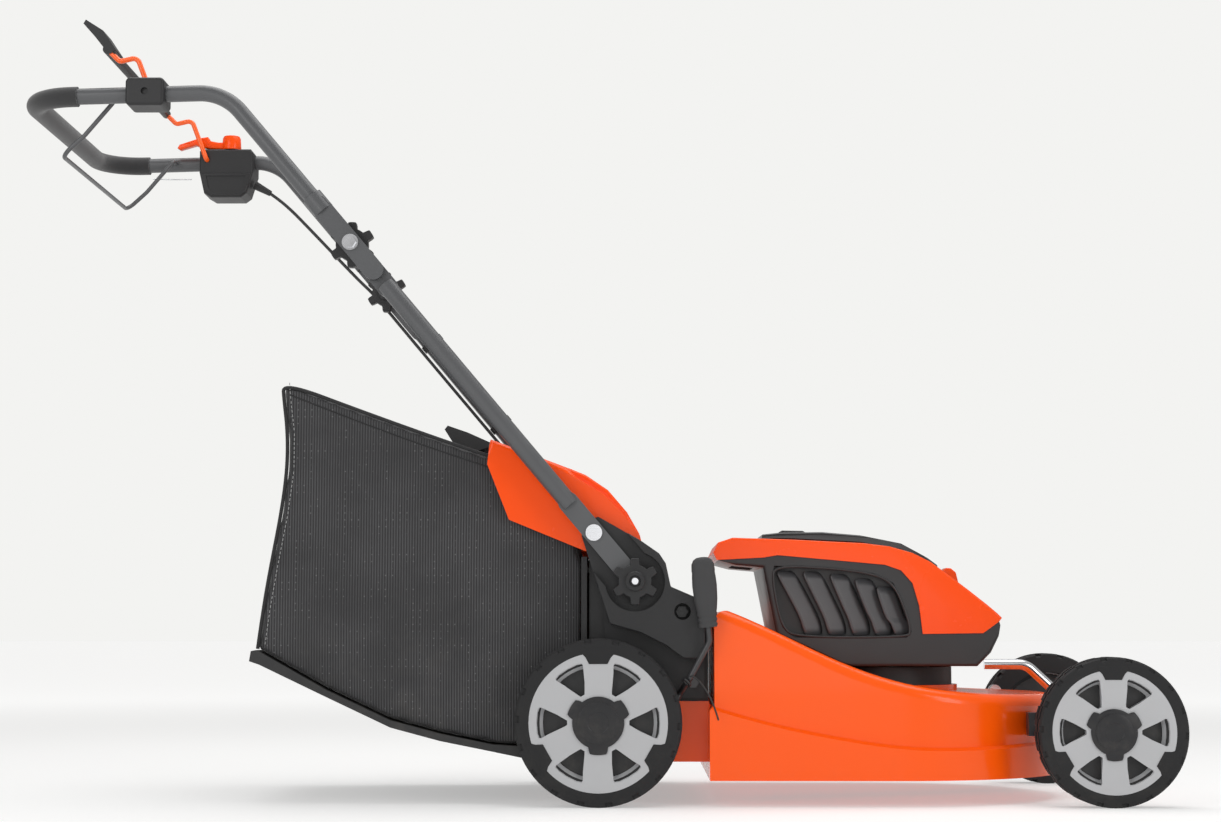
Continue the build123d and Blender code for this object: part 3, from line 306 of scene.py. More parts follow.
tyre_rubber = finish("tyre_rubber", screen(33, 33, 34), 0.72, grain=650, depth=0.3, vary=0.14, dust=0.12, reach=0.2,
                     scuff=0.04, shine=0.35)
rim_silver = finish("rim_silver", screen(176, 177, 179), 0.45, coat=0.0, grain=1500, depth=0.03, vary=0.03,
                    dust=0.12, scuff=0.08)
cap_black = finish("cap_black", screen(36, 36, 38), 0.42, grain=1300, depth=0.08, vary=0.08, shine=0.35)
zinc = finish("zinc", screen(214, 215, 218), 0.24, metallic=1.0, base=LINES, grain=500, depth=0.06,
              vary=0.08, dust=0.05)
bright_plate = finish("bright_plate", screen(238, 239, 242), 0.14, metallic=1.0, base=LINES, grain=420, depth=0.03,
                      vary=0.04, dust=0.05, scuff=0.1)
black_steel = finish("black_steel", screen(46, 46, 48), 0.42, coat=0.2, grain=700, depth=0.1, vary=0.12)
core_iron = finish("core_iron", screen(128, 122, 116), 0.5, metallic=1.0, base=LINES, grain=900, depth=0.3,
                   vary=0.15)
cast_alloy = finish("cast_alloy", screen(190, 191, 194), 0.42, metallic=1.0, grain=1200, depth=0.25, vary=0.1)
cable_sheath = finish("cable_sheath", screen(32, 32, 33), 0.4, grain=1200, depth=0.05, vary=0.08, dust=0.0)
bag_cloth = cloth_finish("bag_cloth", screen(36, 36, 37), screen(74, 74, 76), screen(150, 150, 150), 0.78)
bag_binding = finish("bag_binding", screen(30, 30, 31), 0.7, grain=1600, depth=0.5, vary=0.2, dust=0.1)
strap_web = finish("strap_web", screen(176, 177, 176), 0.75, grain=1500, depth=0.5, vary=0.1, dust=0.0)
thread = finish("thread", screen(150, 150, 150), 0.8, grain=2000, depth=0.3, vary=0.1, dust=0.0)

DRESSED = {
    orange_enamel: ("deck_shell",),
    orange_moulding: ("speed_lever", "start_button"),
    orange_dip: ("drive_bail_arms",),
    grey_moulding: ("handle_bracket_right", "handle_bracket_left", "motor_base", "bail_clamp", "control_box",
                    "tilt_knob_right", "tilt_knob_left", "fold_knob_right", "fold_knob_left", "drive_bail_bar"),
    black_moulding: ("discharge_chute", "battery", "collector_frame", "collector_handle", "drive_gearbox",
                     "cable_clips"),
    black_steel: ("bracket_bolts", "front_axle_brackets", "blade", "rear_crank", "rear_axle_tubes", "height_lever"),
    zinc: ("hinge_rods", "blade_hub", "front_axle", "height_link", "tilt_bolts", "fold_bolts",
           "half_shaft_right", "half_shaft_left"),
    bright_plate: ("front_lift_handle",),
    core_iron: ("motor_stator", "motor_rotor"),
    cast_alloy: ("controller",),
    tube_coat: ("lower_tubes", "upper_tube", "fold_forks", "stop_bail"),
    grip_foam: ("foam_grip",),
    cable_sheath: ("strain_relief",),
}
for material, names in DRESSED.items():
    for name in names:
        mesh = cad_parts[name].data
        mesh.materials.clear()
        mesh.materials.append(material)


# ------------------------------------------------------------------------------ making pieces
def piece(name, bm, material, body, stands_for=(), bevel=0.0, levels=0, sharp=35):
    """Named object from a shape in millimetres, riding on a body."""
    bmesh.ops.remove_doubles(bm, verts=bm.verts, dist=0.01)
    bmesh.ops.recalc_face_normals(bm, faces=bm.faces)
    bmesh.ops.scale(bm, vec=(MM, MM, MM), verts=bm.verts)
    mesh = bpy.data.meshes.new(name)
    bm.to_mesh(mesh)
    bm.free()
    mesh.materials.append(material)
    mesh.shade_smooth()
    mesh.set_sharp_from_angle(angle=radians(sharp))
    obj = bpy.data.objects.new(name, mesh)
    bpy.context.collection.objects.link(obj)
    if bevel:
        rounding = obj.modifiers.new("rounding", "BEVEL")
        rounding.width = bevel * MM
        rounding.segments = 2
        rounding.limit_method = "ANGLE"
        rounding.angle_limit = radians(32)
        rounding.harden_normals = False
    if levels:
        smooth = obj.modifiers.new("smooth", "SUBSURF")
        smooth.levels = smooth.render_levels = levels
    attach(obj, body)
    if stands_for:
        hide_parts(*stands_for)
    return obj


def slab(bm, outline, y_low, y_high):
    """Side-view outline made into a block from y_low to y_high."""
    near = [bm.verts.new((x, y_low, z)) for x, z in outline]
    grown = bmesh.ops.extrude_face_region(bm, geom=[bm.faces.new(near)])
    far = [g for g in grown["geom"] if isinstance(g, bmesh.types.BMVert)]
    bmesh.ops.translate(bm, vec=(0, y_high - y_low, 0), verts=far)
    bmesh.ops.recalc_face_normals(bm, faces=bm.faces)


def long_edges(bm, test):
    """Edges of a slab's two side faces whose middle passes a test."""
    found = []
    for edge in bm.edges:
        a, b = edge.verts
        if abs(a.co.y - b.co.y) < 0.01:
            middle = (a.co + b.co) / 2
            if test(middle.x, middle.z):
                found.append(edge)
    return found


def take_in(bm, part):
    """Adds a shape drawn on its own to another, and drops it."""
    spare = bpy.data.meshes.new("spare")
    part.to_mesh(spare)
    part.free()
    bm.from_mesh(spare)
    bpy.data.meshes.remove(spare)


def soften(bm, edges, width, segments=3):
    bmesh.ops.bevel(bm, geom=list(edges), offset=width, offset_type="OFFSET", segments=segments,
                    profile=0.5, affect="EDGES", material=-1, clamp_overlap=True)


def carved(obj, cutters):
    """Cuts closed shapes out of a piece and drops them."""
    for bm in cutters:
        bmesh.ops.recalc_face_normals(bm, faces=bm.faces)
        bmesh.ops.scale(bm, vec=(MM, MM, MM), verts=bm.verts)
        mesh = bpy.data.meshes.new("cutter")
        bm.to_mesh(mesh)
        bm.free()
        cutter = bpy.data.objects.new("cutter", mesh)
        bpy.context.collection.objects.link(cutter)
        cut = obj.modifiers.new("cut", "BOOLEAN")
        cut.operation, cut.object, cut.solver = "DIFFERENCE", cutter, "EXACT"
        while obj.modifiers[0] != cut:
            obj.modifiers.move(len(obj.modifiers) - 1, 0)
        bake_first(obj)
        bpy.data.objects.remove(cutter)
    return obj


def bake_first(obj):
    """Applies the first modifier of a piece to its mesh and keeps the others."""
    kept = [(m, m.show_viewport) for m in obj.modifiers[1:]]
    for modifier, _ in kept:
        modifier.show_viewport = False
    bpy.context.view_layer.update()
    done = bpy.data.meshes.new_from_object(obj.evaluated_get(bpy.context.evaluated_depsgraph_get()))
    done.shade_smooth()
    done.set_sharp_from_angle(angle=radians(35))
    obj.data = done
    obj.modifiers.remove(obj.modifiers[0])
    for modifier, shown in kept:
        modifier.show_viewport = shown


def block(x_low, x_high, y_low, y_high, z_low, z_high):
    bm = bmesh.new()
    slab(bm, [(x_low, z_low), (x_high, z_low), (x_high, z_high), (x_low, z_high)], y_low, y_high)
    return bm


def spun(bm, profile, steps):
    """Closed (radius, y) profile turned a full circle about the Y axis."""
    verts = [bm.verts.new((r, y, 0)) for r, y in profile]
    edges = [bm.edges.new((a, b)) for a, b in zip(verts, verts[1:] + verts[:1])]
    bmesh.ops.spin(bm, geom=verts + edges, cent=(0, 0, 0), axis=(0, 1, 0), dvec=(0, 0, 0), angle=2 * pi,
                   steps=steps, use_merge=True, use_duplicate=False)


def smooth_line(points, closed=False):
    """Evaluated points of a NURBS route through control points given in millimetres."""
    curve = bpy.data.curves.new("route", "CURVE")
    curve.dimensions = "3D"
    spline = curve.splines.new("NURBS")
    spline.points.add(len(points) - 1)
    for point, place in zip(spline.points, points):
        point.co = (*[c * MM for c in place], 1)
    spline.order_u = 3
    spline.use_endpoint_u = not closed
    spline.use_cyclic_u = closed
    spline.resolution_u = 8
    holder = bpy.data.objects.new("route", curve)
    bpy.context.collection.objects.link(holder)
    bpy.context.view_layer.update()
    mesh = bpy.data.meshes.new_from_object(holder.evaluated_get(bpy.context.evaluated_depsgraph_get()))
    line = [v.co.copy() for v in mesh.vertices]
    return line, holder


def tube_along(name, points, radius, material, body=None, closed=False):
    """Round cord or wire on a smooth route. Returns the piece and the line it follows."""
    line, holder = smooth_line(points, closed)
    holder.data.bevel_depth = radius * MM
    holder.data.bevel_resolution = 3
    holder.data.use_fill_caps = not closed
    bpy.context.view_layer.update()
    mesh = bpy.data.meshes.new_from_object(holder.evaluated_get(bpy.context.evaluated_depsgraph_get()))
    bpy.data.objects.remove(holder)
    mesh.materials.clear()
    mesh.materials.append(material)
    mesh.shade_smooth()
    obj = bpy.data.objects.new(name, mesh)
    bpy.context.collection.objects.link(obj)
    if body:
        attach(obj, body)
    return obj, line


# ------------------------------------------------------------------------------------ wheels
TIP_R = 37                      # inner point of each rim window
WHEEL_FACE = 237                # outer side of every tyre, from the machine's middle
TREAD_STEPS = 72
TYRE_PROFILE = [(70, 4), (83.8, 1.4), (89, 0.9), (94, 2.2), (96.4, 5), (96.4, 13), (96.4, 21), (96.4, 29),
                (96.4, 37), (94, 40.4), (88, 41.6), (72, 40.5), (70, 38)]
RIM_PROFILE = [(84, 1.7), (80, 1.3), (66, 2.2), (42, 4.0), (13, 4.5), (13, 14), (66, 14),
               (69, 20), (69.5, 29.5), (84, 29.5)]
BACK_PROFILE = [(12, 15), (66, 15.5), (68.5, 19), (68.5, 22), (64, 18), (12, 17.5)]
BOSS_PROFILE = [(6.5, 13.5), (17, 13.5), (17, 37), (15, 38), (6.5, 38)]


def put_wheel(bm, radius, x, z, side):
    """Moves a wheel shape drawn for a 100 mm wheel on the right side to its own axle and side."""
    grow = radius / 100
    bmesh.ops.scale(bm, vec=(grow, 1, grow), verts=bm.verts)
    bmesh.ops.translate(bm, vec=(0, -WHEEL_FACE, 0), verts=bm.verts)
    if side > 0:
        bmesh.ops.scale(bm, vec=(1, -1, 1), verts=bm.verts)
    bmesh.ops.translate(bm, vec=(x, 0, z), verts=bm.verts)


def tyre_shape():
    bm = bmesh.new()
    spun(bm, TYRE_PROFILE, TREAD_STEPS)
    lugs = []
    for face in bm.faces:
        centre = face.calc_center_median()
        if hypot(centre.x, centre.z) < 94.5:
            continue
        step = int(degrees(atan2(centre.z, centre.x)) // (360 / TREAD_STEPS))
        row = int((centre.y - 1) // 8)
        shoulder = row in (0, 4)
        if (step + (2 if row % 2 else 0)) % 4 < (3 if shoulder else 2):
            lugs.append(face)
    grown = bmesh.ops.extrude_face_region(bm, geom=lugs)
    for vert in (g for g in grown["geom"] if isinstance(g, bmesh.types.BMVert)):
        reach = hypot(vert.co.x, vert.co.z)
        target = min(100.0, reach + 3.6)
        vert.co.x *= target / reach
        vert.co.z *= target / reach
    bmesh.ops.delete(bm, geom=[f for f in lugs if f.is_valid], context="FACES")
    # the three rubber tabs that reach over the rim
    for turn in (90, 210, 330):
        tab = bmesh.new()
        slab(tab, [(69.5, -11), (69.5, 11), (77, 15), (85, 22.5), (88, 22), (88, -22), (85, -22.5),
                             (77, -15)], 0.7, 8)
        soften(tab, [e for e in tab.edges if e.verts[0].co.y < 1 and e.verts[1].co.y < 1], 0.8, 2)
        bmesh.ops.rotate(tab, cent=(0, 0, 0), matrix=Matrix.Rotation(-radians(turn), 3, "Y"), verts=tab.verts)
        take_in(bm, tab)
    return bm


def rim_shape():
    bm = bmesh.new()
    spun(bm, RIM_PROFILE, 96)
    return bm


def window_cutters():
    bm = bmesh.new()
    for i in range(6):
        start = len(bm.verts)
        slab(bm, [(TIP_R, -2.6), (40, -4.4), (61, -16.4), (63.4, -16), (65.2, -11), (66, 0), (65.2, 11),
                  (63.4, 16), (61, 16.4), (40, 4.4), (TIP_R, 2.6)], -6, 14.6)
        bm.verts.ensure_lookup_table()
        # the wall away from the hub slopes outwards to the face
        flare = [v for v in bm.verts[start:] if v.co.y < 0 and hypot(v.co.x, v.co.z) > 55]
        bmesh.ops.scale(bm, vec=(1.19, 1, 1.19), verts=flare)
        bmesh.ops.rotate(bm, cent=(0, 0, 0), matrix=Matrix.Rotation(radians(60 * i), 3, "Y"),
                         verts=bm.verts[start:])
    return bm


def cap_shape():
    """Dark centre cap with three square lobes and a raised middle."""
    bm = bmesh.new()
    bmesh.ops.create_circle(bm, cap_ends=True, radius=31, segments=96)
    bmesh.ops.rotate(bm, cent=(0, 0, 0), matrix=Matrix.Rotation(pi / 2, 3, "X"), verts=bm.verts)
    for vert in bm.verts:
        angle = degrees(atan2(vert.co.z, vert.co.x)) % 360
        off = min(abs(angle - a) for a in (30, 150, 270))
        lobe = max(0.0, min(1.0, (22 - off) / 6))
        reach = (31 + 7 * lobe * lobe * (3 - 2 * lobe)) / 31
        vert.co.x *= reach
        vert.co.z *= reach
    bmesh.ops.translate(bm, vec=(0, 6, 0), verts=bm.verts)
    grown = bmesh.ops.extrude_face_region(bm, geom=bm.faces[:])
    top = [g for g in grown["geom"] if isinstance(g, bmesh.types.BMVert)]
    bmesh.ops.translate(bm, vec=(0, -4.2, 0), verts=top)
    face = [g for g in grown["geom"] if isinstance(g, bmesh.types.BMFace)]
    soften(bm, {e for f in face for e in f.edges}, 1.0, 2)
    plate = bmesh.ops.create_circle(bm, cap_ends=True, radius=25, segments=72)["verts"]
    bmesh.ops.rotate(bm, cent=(0, 0, 0), matrix=Matrix.Rotation(pi / 2, 3, "X"), verts=plate)
    bmesh.ops.translate(bm, vec=(0, 1.9, 0), verts=plate)
    disc = list({f for v in plate for f in v.link_faces})
    grown = bmesh.ops.extrude_face_region(bm, geom=disc)
    rise = [g for g in grown["geom"] if isinstance(g, bmesh.types.BMVert)]
    bmesh.ops.translate(bm, vec=(0, -1.0, 0), verts=rise)
    ring = [g for g in grown["geom"] if isinstance(g, bmesh.types.BMFace)]
    bmesh.ops.inset_region(bm, faces=ring, thickness=1.0, depth=0.35)
    bmesh.ops.inset_region(bm, faces=ring, thickness=11.0, depth=0.0)
    bmesh.ops.inset_region(bm, faces=ring, thickness=1.0, depth=-0.5)
    return bm


for place, x, z, radius in (("rear", 10, 100, 100), ("front", 622, 89, 89)):
    for name, side in (("right", -1), ("left", 1)):
        body = f"wheel_{place}_{name}"
        tyre = tyre_shape()
        put_wheel(tyre, radius, x, z, side)
        piece(f"{body}_tyre", tyre, tyre_rubber, body, (f"tyre_{place}_{name}",), sharp=28)
        rim = rim_shape()
        put_wheel(rim, radius, x, z, side)
        windows = window_cutters()
        put_wheel(windows, radius, x, z, side)
        rim_piece = piece(f"{body}_rim", rim, rim_silver, body, (f"rim_{place}_{name}",),
                          bevel=1.1)
        carved(rim_piece, [windows])
        back = bmesh.new()
        spun(back, BACK_PROFILE, 72)
        spun(back, BOSS_PROFILE, 72)
        put_wheel(back, radius, x, z, side)
        piece(f"{body}_backing", back, black_moulding, body)
        cap = cap_shape()
        put_wheel(cap, radius, x, z, side)
        piece(f"{body}_cap", cap, cap_black, body, sharp=25)

# -------------------------------------------------------------------------------------- hood
HOOD_OUTLINE = [(152, 306), (158, 319), (176, 325), (250, 322.5), (340, 318), (372, 314), (400, 306), (424, 294),
                (447, 277), (470, 259.5), (492, 242), (505, 231), (511, 225), (508, 221), (487, 206), (412, 205),
                (408, 240), (400, 268), (386, 284), (366, 291), (300, 297), (232, 303), (214, 300), (156, 297)]
hood = bmesh.new()
slab(hood, HOOD_OUTLINE, -115, 115)
soften(hood, long_edges(hood, lambda x, z: z > 304 or x > 420 and z > 215), 20, 6)
hood_cover = piece("hood_cover_skin", hood, orange_moulding, "deck", ("hood_cover",),
                   bevel=0.8)
carved(hood_cover, [block(228, 436, -60, 60, 180, 360), block(178, 206, -54, 54, 200, 360),
                    block(160, 500, -104, 104, 150, 296)])

# Dark lower housing, set in a little under the cover, with the side vents
HOUSING = [(160, 304), (222, 306), (300, 302), (372, 296), (394, 288), (410, 268), (416, 240), (418, 208),
           (486, 208.5), (507, 222.5), (509, 216), (507, 202), (497, 182), (480, 165), (240, 165),
           (233, 190), (226, 225), (219, 262), (214, 288), (180, 291), (158, 297)]
housing = bmesh.new()
slab(housing, HOUSING, -112.5, 112.5)
soften(housing, long_edges(housing, lambda x, z: z < 200 or x < 230 and z < 290), 9, 4)
housing_piece = piece("hood_housing", housing, hood_grey, "deck", ("hood_base",), bevel=0.7)
VENT = [(238, 214), (231, 240), (226, 272), (228, 290), (300, 287), (352, 280), (376, 268), (390, 238),
        (398, 208), (392, 201), (252, 201)]
pockets = []
for side in (-1, 1):
    pocket = bmesh.new()
    slab(pocket, VENT, min(side * 98, side * 120), max(side * 98, side * 120))
    pockets.append(pocket)
seat = bmesh.new()
bmesh.ops.create_cone(seat, cap_ends=True, segments=64, radius1=89, radius2=89, depth=40)
bmesh.ops.translate(seat, vec=(374, 0, 150), verts=seat.verts)
pockets += [seat, block(236, 402, -58, 58, 234, 340), block(178, 206, -54, 54, 200, 360)]
crest = bmesh.new()
slab(crest, [(130, 100), (560, 100), (560, 137), (440, 138.5), (379, 148.5), (310, 170.5), (219, 212.5),
             (130, 247)], -150, 150)
carved(housing_piece, pockets + [crest])

# Curved slats that stand in each vent, each with its leading edge out and its trailing edge in
slats = bmesh.new()
for side in (-1, 1):
    for head, foot, top in ((229, 262, 284), (262, 292, 283), (296, 322, 280), (327, 350, 274), (354, 374, 264)):
        spine = [(head, top), (head + (foot - head) * 0.34, top - 20), (head + (foot - head) * 0.72, top - 44),
                 (foot, 222), (foot + 3, 203)]
        outer = [slats.verts.new((x, side * 110.5, z)) for x, z in spine]
        runs = [slats.edges.new(pair) for pair in zip(outer, outer[1:])]
        grown = bmesh.ops.extrude_edge_only(slats, edges=runs)
        far = [g for g in grown["geom"] if isinstance(g, bmesh.types.BMVert)]
        bmesh.ops.translate(slats, vec=(25, -side * 11, 0), verts=far)
        across = [e for v in far for e in v.link_edges if abs(e.verts[0].co.y - e.verts[1].co.y) > 5]
        bmesh.ops.subdivide_edges(slats, edges=list(set(across)), cuts=2)
# The slats' lighter grey is painted light on the housing's dark plastic
slat_piece = piece("vent_slats", slats, lit_vane_grey, "deck", levels=1, sharp=60)
slat_wall = slat_piece.modifiers.new("wall", "SOLIDIFY")
slat_wall.thickness = 0.0022

# Raised lip round each vent
for side, name in ((-1, "right"), (1, "left")):
    lip = [(x, side * 112.4, z) for x, z in VENT]
    tube_along(f"vent_lip_{name}", lip, 1.6, hood_grey, "deck", closed=True)

lid = bmesh.new()
LID = [(214, 318), (216, 331), (240, 333.5), (292, 334), (340, 330), (392, 319.5), (426, 301), (452, 281.5),
       (449, 277), (424, 295.5), (391, 312), (340, 321), (255, 325.5), (226, 326), (222, 318)]
slab(lid, LID, -66, 66)
soften(lid, long_edges(lid, lambda x, z: z > 325 - max(0.0, x - 392) * 0.75), 7, 4)
lid_piece = piece("lid_skin", lid, lid_black, "lid", ("battery_lid",), bevel=0.6)
carved(lid_piece, [block(438, 462, -67, -33, 262, 292), block(438, 462, 33, 67, 262, 292)])

for low, high, name in ((-66, -34, "right"), (34, 66, "left")):
    knuckle = bmesh.new()
    slab(knuckle, [(438, 268), (444, 284), (449, 288.5), (455, 288), (461, 283), (466, 262)], low, high)
    soften(knuckle, long_edges(knuckle, lambda x, z: z > 280), 1.6, 3)
    piece(f"lid_knuckle_{name}", knuckle, orange_moulding, "deck", bevel=0.5)
latch = bmesh.new()
slab(latch, [(237, 330), (239, 335), (243, 337.5), (270, 337), (275, 334), (276, 330)], -34, 34)
soften(latch, long_edges(latch, lambda x, z: z > 331), 2, 3)
piece("lid_latch", latch, black_moulding, "lid", bevel=0.6)

# ------------------------------------------------------------------------------------- flap
FLAP = [(-124, 440), (-123, 443), (-58, 419), (-29, 408), (-17, 395), (16, 375), (40, 351), (60, 325),
        (63, 312), (60, 304), (46, 300), (-7.5, 306), (-100, 344), (-127, 412)]
flap = bmesh.new()
slab(flap, FLAP, -185, 185)
soften(flap, long_edges(flap, lambda x, z: z > 411 - 0.42 * (x + 58) and z > 325), 9, 5)
flap_piece = piece("flap_skin", flap, orange_moulding, "flap", ("rear_flap",), bevel=0.9)
inside = bmesh.new()
slab(inside, [(-150, 447), (-121.5, 438), (-60, 413.5), (-31, 402.5), (-19.5, 390), (13, 370.5),
              (37, 346.5), (55, 324), (48, 290), (-150, 290)], -181.5, 181.5)
carved(flap_piece, [inside])
ridge = bmesh.new()
slab(ridge, [(-52, 414), (-30, 414), (-8, 405), (20, 386), (44, 358), (60, 330), (56, 322), (36, 347),
             (12, 371), (-20, 391), (-32, 403)], -96, 96)
soften(ridge, long_edges(ridge, lambda x, z: True), 12, 5)
piece("flap_ridge", ridge, orange_moulding, "flap", bevel=1.2)
pin_wrap = bmesh.new()
bmesh.ops.create_cone(pin_wrap, cap_ends=True, segments=32, radius1=7.5, radius2=7.5, depth=370)
bmesh.ops.rotate(pin_wrap, cent=(0, 0, 0), matrix=Matrix.Rotation(pi / 2, 3, "X"), verts=pin_wrap.verts)
bmesh.ops.translate(pin_wrap, vec=(56, 0, 312), verts=pin_wrap.verts)
piece("flap_hinge_roll", pin_wrap, orange_moulding, "flap", bevel=0.6)

# --------------------------------------------------------------------------------- collector
BAG_SIDE = 173
BAG = [(-12, 143), (-12, 291), (-26, 345), (-44, 397), (-160, 434), (-280, 477), (-381, 515), (-379, 492),
       (-374, 452), (-374, 405), (-381, 350), (-392, 290), (-401, 235), (-407, 187), (-366, 164), (-322, 139),
       (-243, 102), (-183, 86), (-118, 73), (-86, 71), (-62, 100), (-40, 128)]


def edge_distance(x, z):
    """Distance of a side-view point from the bag's outline."""
    best = 1e9
    for (ax, az), (bx, bz) in zip(BAG, BAG[1:] + BAG[:1]):
        run = (bx - ax) ** 2 + (bz - az) ** 2
        t = max(0.0, min(1.0, ((x - ax) * (bx - ax) + (z - az) * (bz - az)) / run))
        best = min(best, hypot(x - ax - t * (bx - ax), z - az - t * (bz - az)))
    return best


bag = bmesh.new()
slab(bag, BAG, -BAG_SIDE, BAG_SIDE)
soften(bag, long_edges(bag, lambda x, z: True), 4, 2)
bag_piece = piece("bag_shell", bag, bag_cloth, "collector", ("collector_bag",), sharp=180)
remesh = bag_piece.modifiers.new("remesh", "REMESH")
remesh.mode, remesh.voxel_size, remesh.use_smooth_shade = "VOXEL", (0.0075), True
bake_first(bag_piece)
flat_places = [v.co.copy() for v in bag_piece.data.vertices]
held = bag_piece.vertex_groups.new(name="held")
for vert in bag_piece.data.vertices:
    x, y, z = (c / MM for c in vert.co)
    on_seam = abs(y) > BAG_SIDE - 9 and edge_distance(x, z) < 11
    on_mouth = x > -26
    on_rim = edge_distance(x, z) < 10 and z < 190 and x < -60
    if on_seam or on_mouth or on_rim:
        held.add([vert.index], 1.0, "REPLACE")
sag = bag_piece.modifiers.new("sag", "CLOTH")
sag.settings.vertex_group_mass = "held"
sag.settings.use_pressure = True
sag.settings.uniform_pressure_force = 2.2
sag.settings.quality = 6
sag.settings.mass = 0.3
sag.settings.tension_stiffness = 18
sag.settings.bending_stiffness = 1.2
sag.settings.effector_weights.gravity = 0.25
sag.collision_settings.use_collision = False
for step in range(1, 21):
    bpy.context.scene.frame_set(step)
bake_first(bag_piece)
bpy.context.scene.frame_set(1)
MOST_SAG = 8 * MM
for vert, place in zip(bag_piece.data.vertices, flat_places):
    shift = vert.co - place
    if shift.length > MOST_SAG:
        vert.co = place + shift * (MOST_SAG / shift.length)
    # long shallow folds that run down from the rear top corner
    x, y, z = (c / MM for c in place)
    if abs(y) > BAG_SIDE - 3 and edge_distance(x, z) > 14:
        fade = min(1.0, (edge_distance(x, z) - 14) / 40)
        fold = sin((x * 0.55 + z * 0.8) / 19) * 0.6 + sin((x * 0.9 - z * 0.35) / 33) * 0.9
        vert.co.y += (1 if y > 0 else -1) * fold * fade * 1.5 * MM
opened = bmesh.new()
opened.from_mesh(bag_piece.data)
mouth = [f for f in opened.faces if f.calc_center_median().x > -0.0165
         and abs(f.calc_center_median().y) < 0.164 and 0.149 < f.calc_center_median().z < 0.286]
bmesh.ops.delete(opened, geom=mouth, context="FACES")
bmesh.ops.recalc_face_normals(opened, faces=opened.faces)
opened.to_mesh(bag_piece.data)
opened.free()
bag_piece.data.shade_smooth()
bag_piece.vertex_groups.clear()
wall = bag_piece.modifiers.new("wall", "SOLIDIFY")
wall.thickness, wall.offset = 0.0012, -1
fine = bag_piece.modifiers.new("fine", "SUBSURF")
fine.levels = fine.render_levels = 1

# Binding round the side seams, the top hem, and the row of stitches beside the rear seam
for side, name in ((-1, "right"), (1, "left")):
    seam = [(x, side * (BAG_SIDE - 1), z) for x, z in BAG[2:14]]
    tube_along(f"bag_binding_{name}", seam, 2.3, bag_binding, "collector")
    hem = [(x - 4, side * (BAG_SIDE + 0.1), z - 13) for x, z in BAG[3:6]]
    hem.append((BAG[6][0] + 9, side * (BAG_SIDE + 0.1), BAG[6][1] - 16))
    tube_along(f"bag_hem_{name}", hem, 0.9, bag_binding, "collector")
    stitches = bmesh.new()
    rear = BAG[6:14]
    for (ax, az), (bx, bz) in zip(rear, rear[1:]):
        length = hypot(bx - ax, bz - az)
        for k in range(int(length // 5.5)):
            t = (k + 0.5) * 5.5 / length
            made = bmesh.ops.create_cone(stitches, cap_ends=True, segments=6, radius1=0.55, radius2=0.55, depth=3.2)
            lean = atan2(bx - ax, bz - az)
            bmesh.ops.rotate(stitches, cent=(0, 0, 0), matrix=Matrix.Rotation(lean, 3, "Y"), verts=made["verts"])
            bmesh.ops.translate(stitches, verts=made["verts"],
                                vec=(ax + (bx - ax) * t + 8.5, side * (BAG_SIDE + 0.3), az + (bz - az) * t))
    piece(f"bag_stitches_{name}", stitches, thread, "collector")

# Grab strap sewn to the back of the bag
strap = bmesh.new()
route = [(-383, 332), (-393, 326), (-403, 310), (-409, 288), (-411, 264), (-408, 246), (-401, 236)]
spine = [strap.verts.new((x, -15, z)) for x, z in route]
runs = [strap.edges.new(pair) for pair in zip(spine, spine[1:])]
grown = bmesh.ops.extrude_edge_only(strap, edges=runs)
bmesh.ops.translate(strap, vec=(0, 30, 0), verts=[g for g in grown["geom"] if isinstance(g, bmesh.types.BMVert)])
strap_piece = piece("grab_strap", strap, strap_web, "collector", levels=2)
thick = strap_piece.modifiers.new("thick", "SOLIDIFY")
thick.thickness = 0.0018


# ------------------------------------------------------------------------- knobs and controls
def knob_shape(x, y_face, z, out):
    """Six-lobed clamping knob whose back lies at y_face and which stands out along out."""
    bm = bmesh.new()
    bmesh.ops.create_circle(bm, cap_ends=True, radius=24, segments=144)
    bmesh.ops.rotate(bm, cent=(0, 0, 0), matrix=Matrix.Rotation(pi / 2, 3, "X"), verts=bm.verts)
    for vert in bm.verts:
        angle = degrees(atan2(vert.co.z, vert.co.x)) % 60
        lobe = max(0.0, min(1.0, (18 - abs(angle - 30)) / 9))
        reach = (20 + 8 * lobe * lobe * (3 - 2 * lobe)) / 24
        vert.co.x *= reach
        vert.co.z *= reach
    grown = bmesh.ops.extrude_face_region(bm, geom=bm.faces[:])
    top = [g for g in grown["geom"] if isinstance(g, bmesh.types.BMVert)]
    bmesh.ops.translate(bm, vec=(0, 13, 0), verts=top)
    front = [g for g in grown["geom"] if isinstance(g, bmesh.types.BMFace)]
    soften(bm, {e for f in front for e in f.edges}, 2.0, 3)
    boss = bmesh.new()
    spun(boss, [(4.4, 1), (12, 1), (12, 16), (11, 17), (7, 17), (6, 15.5), (4.4, 15.5)], 48)
    take_in(bm, boss)
    if out < 0:
        bmesh.ops.scale(bm, vec=(1, -1, 1), verts=bm.verts)
    bmesh.ops.translate(bm, vec=(x, y_face, z), verts=bm.verts)
    return bm


for side, name in ((-1, "right"), (1, "left")):
    for kind, x, y, z, out in (("tilt", 54, 212.5, 268, side), ("fold", -294, 199.5, 682, -side)):
        knob = f"{kind}_knob_{name}"
        piece(f"{knob}_skin", knob_shape(x, side * y, z, out), grey_moulding, knob, (knob,),
              sharp=30)

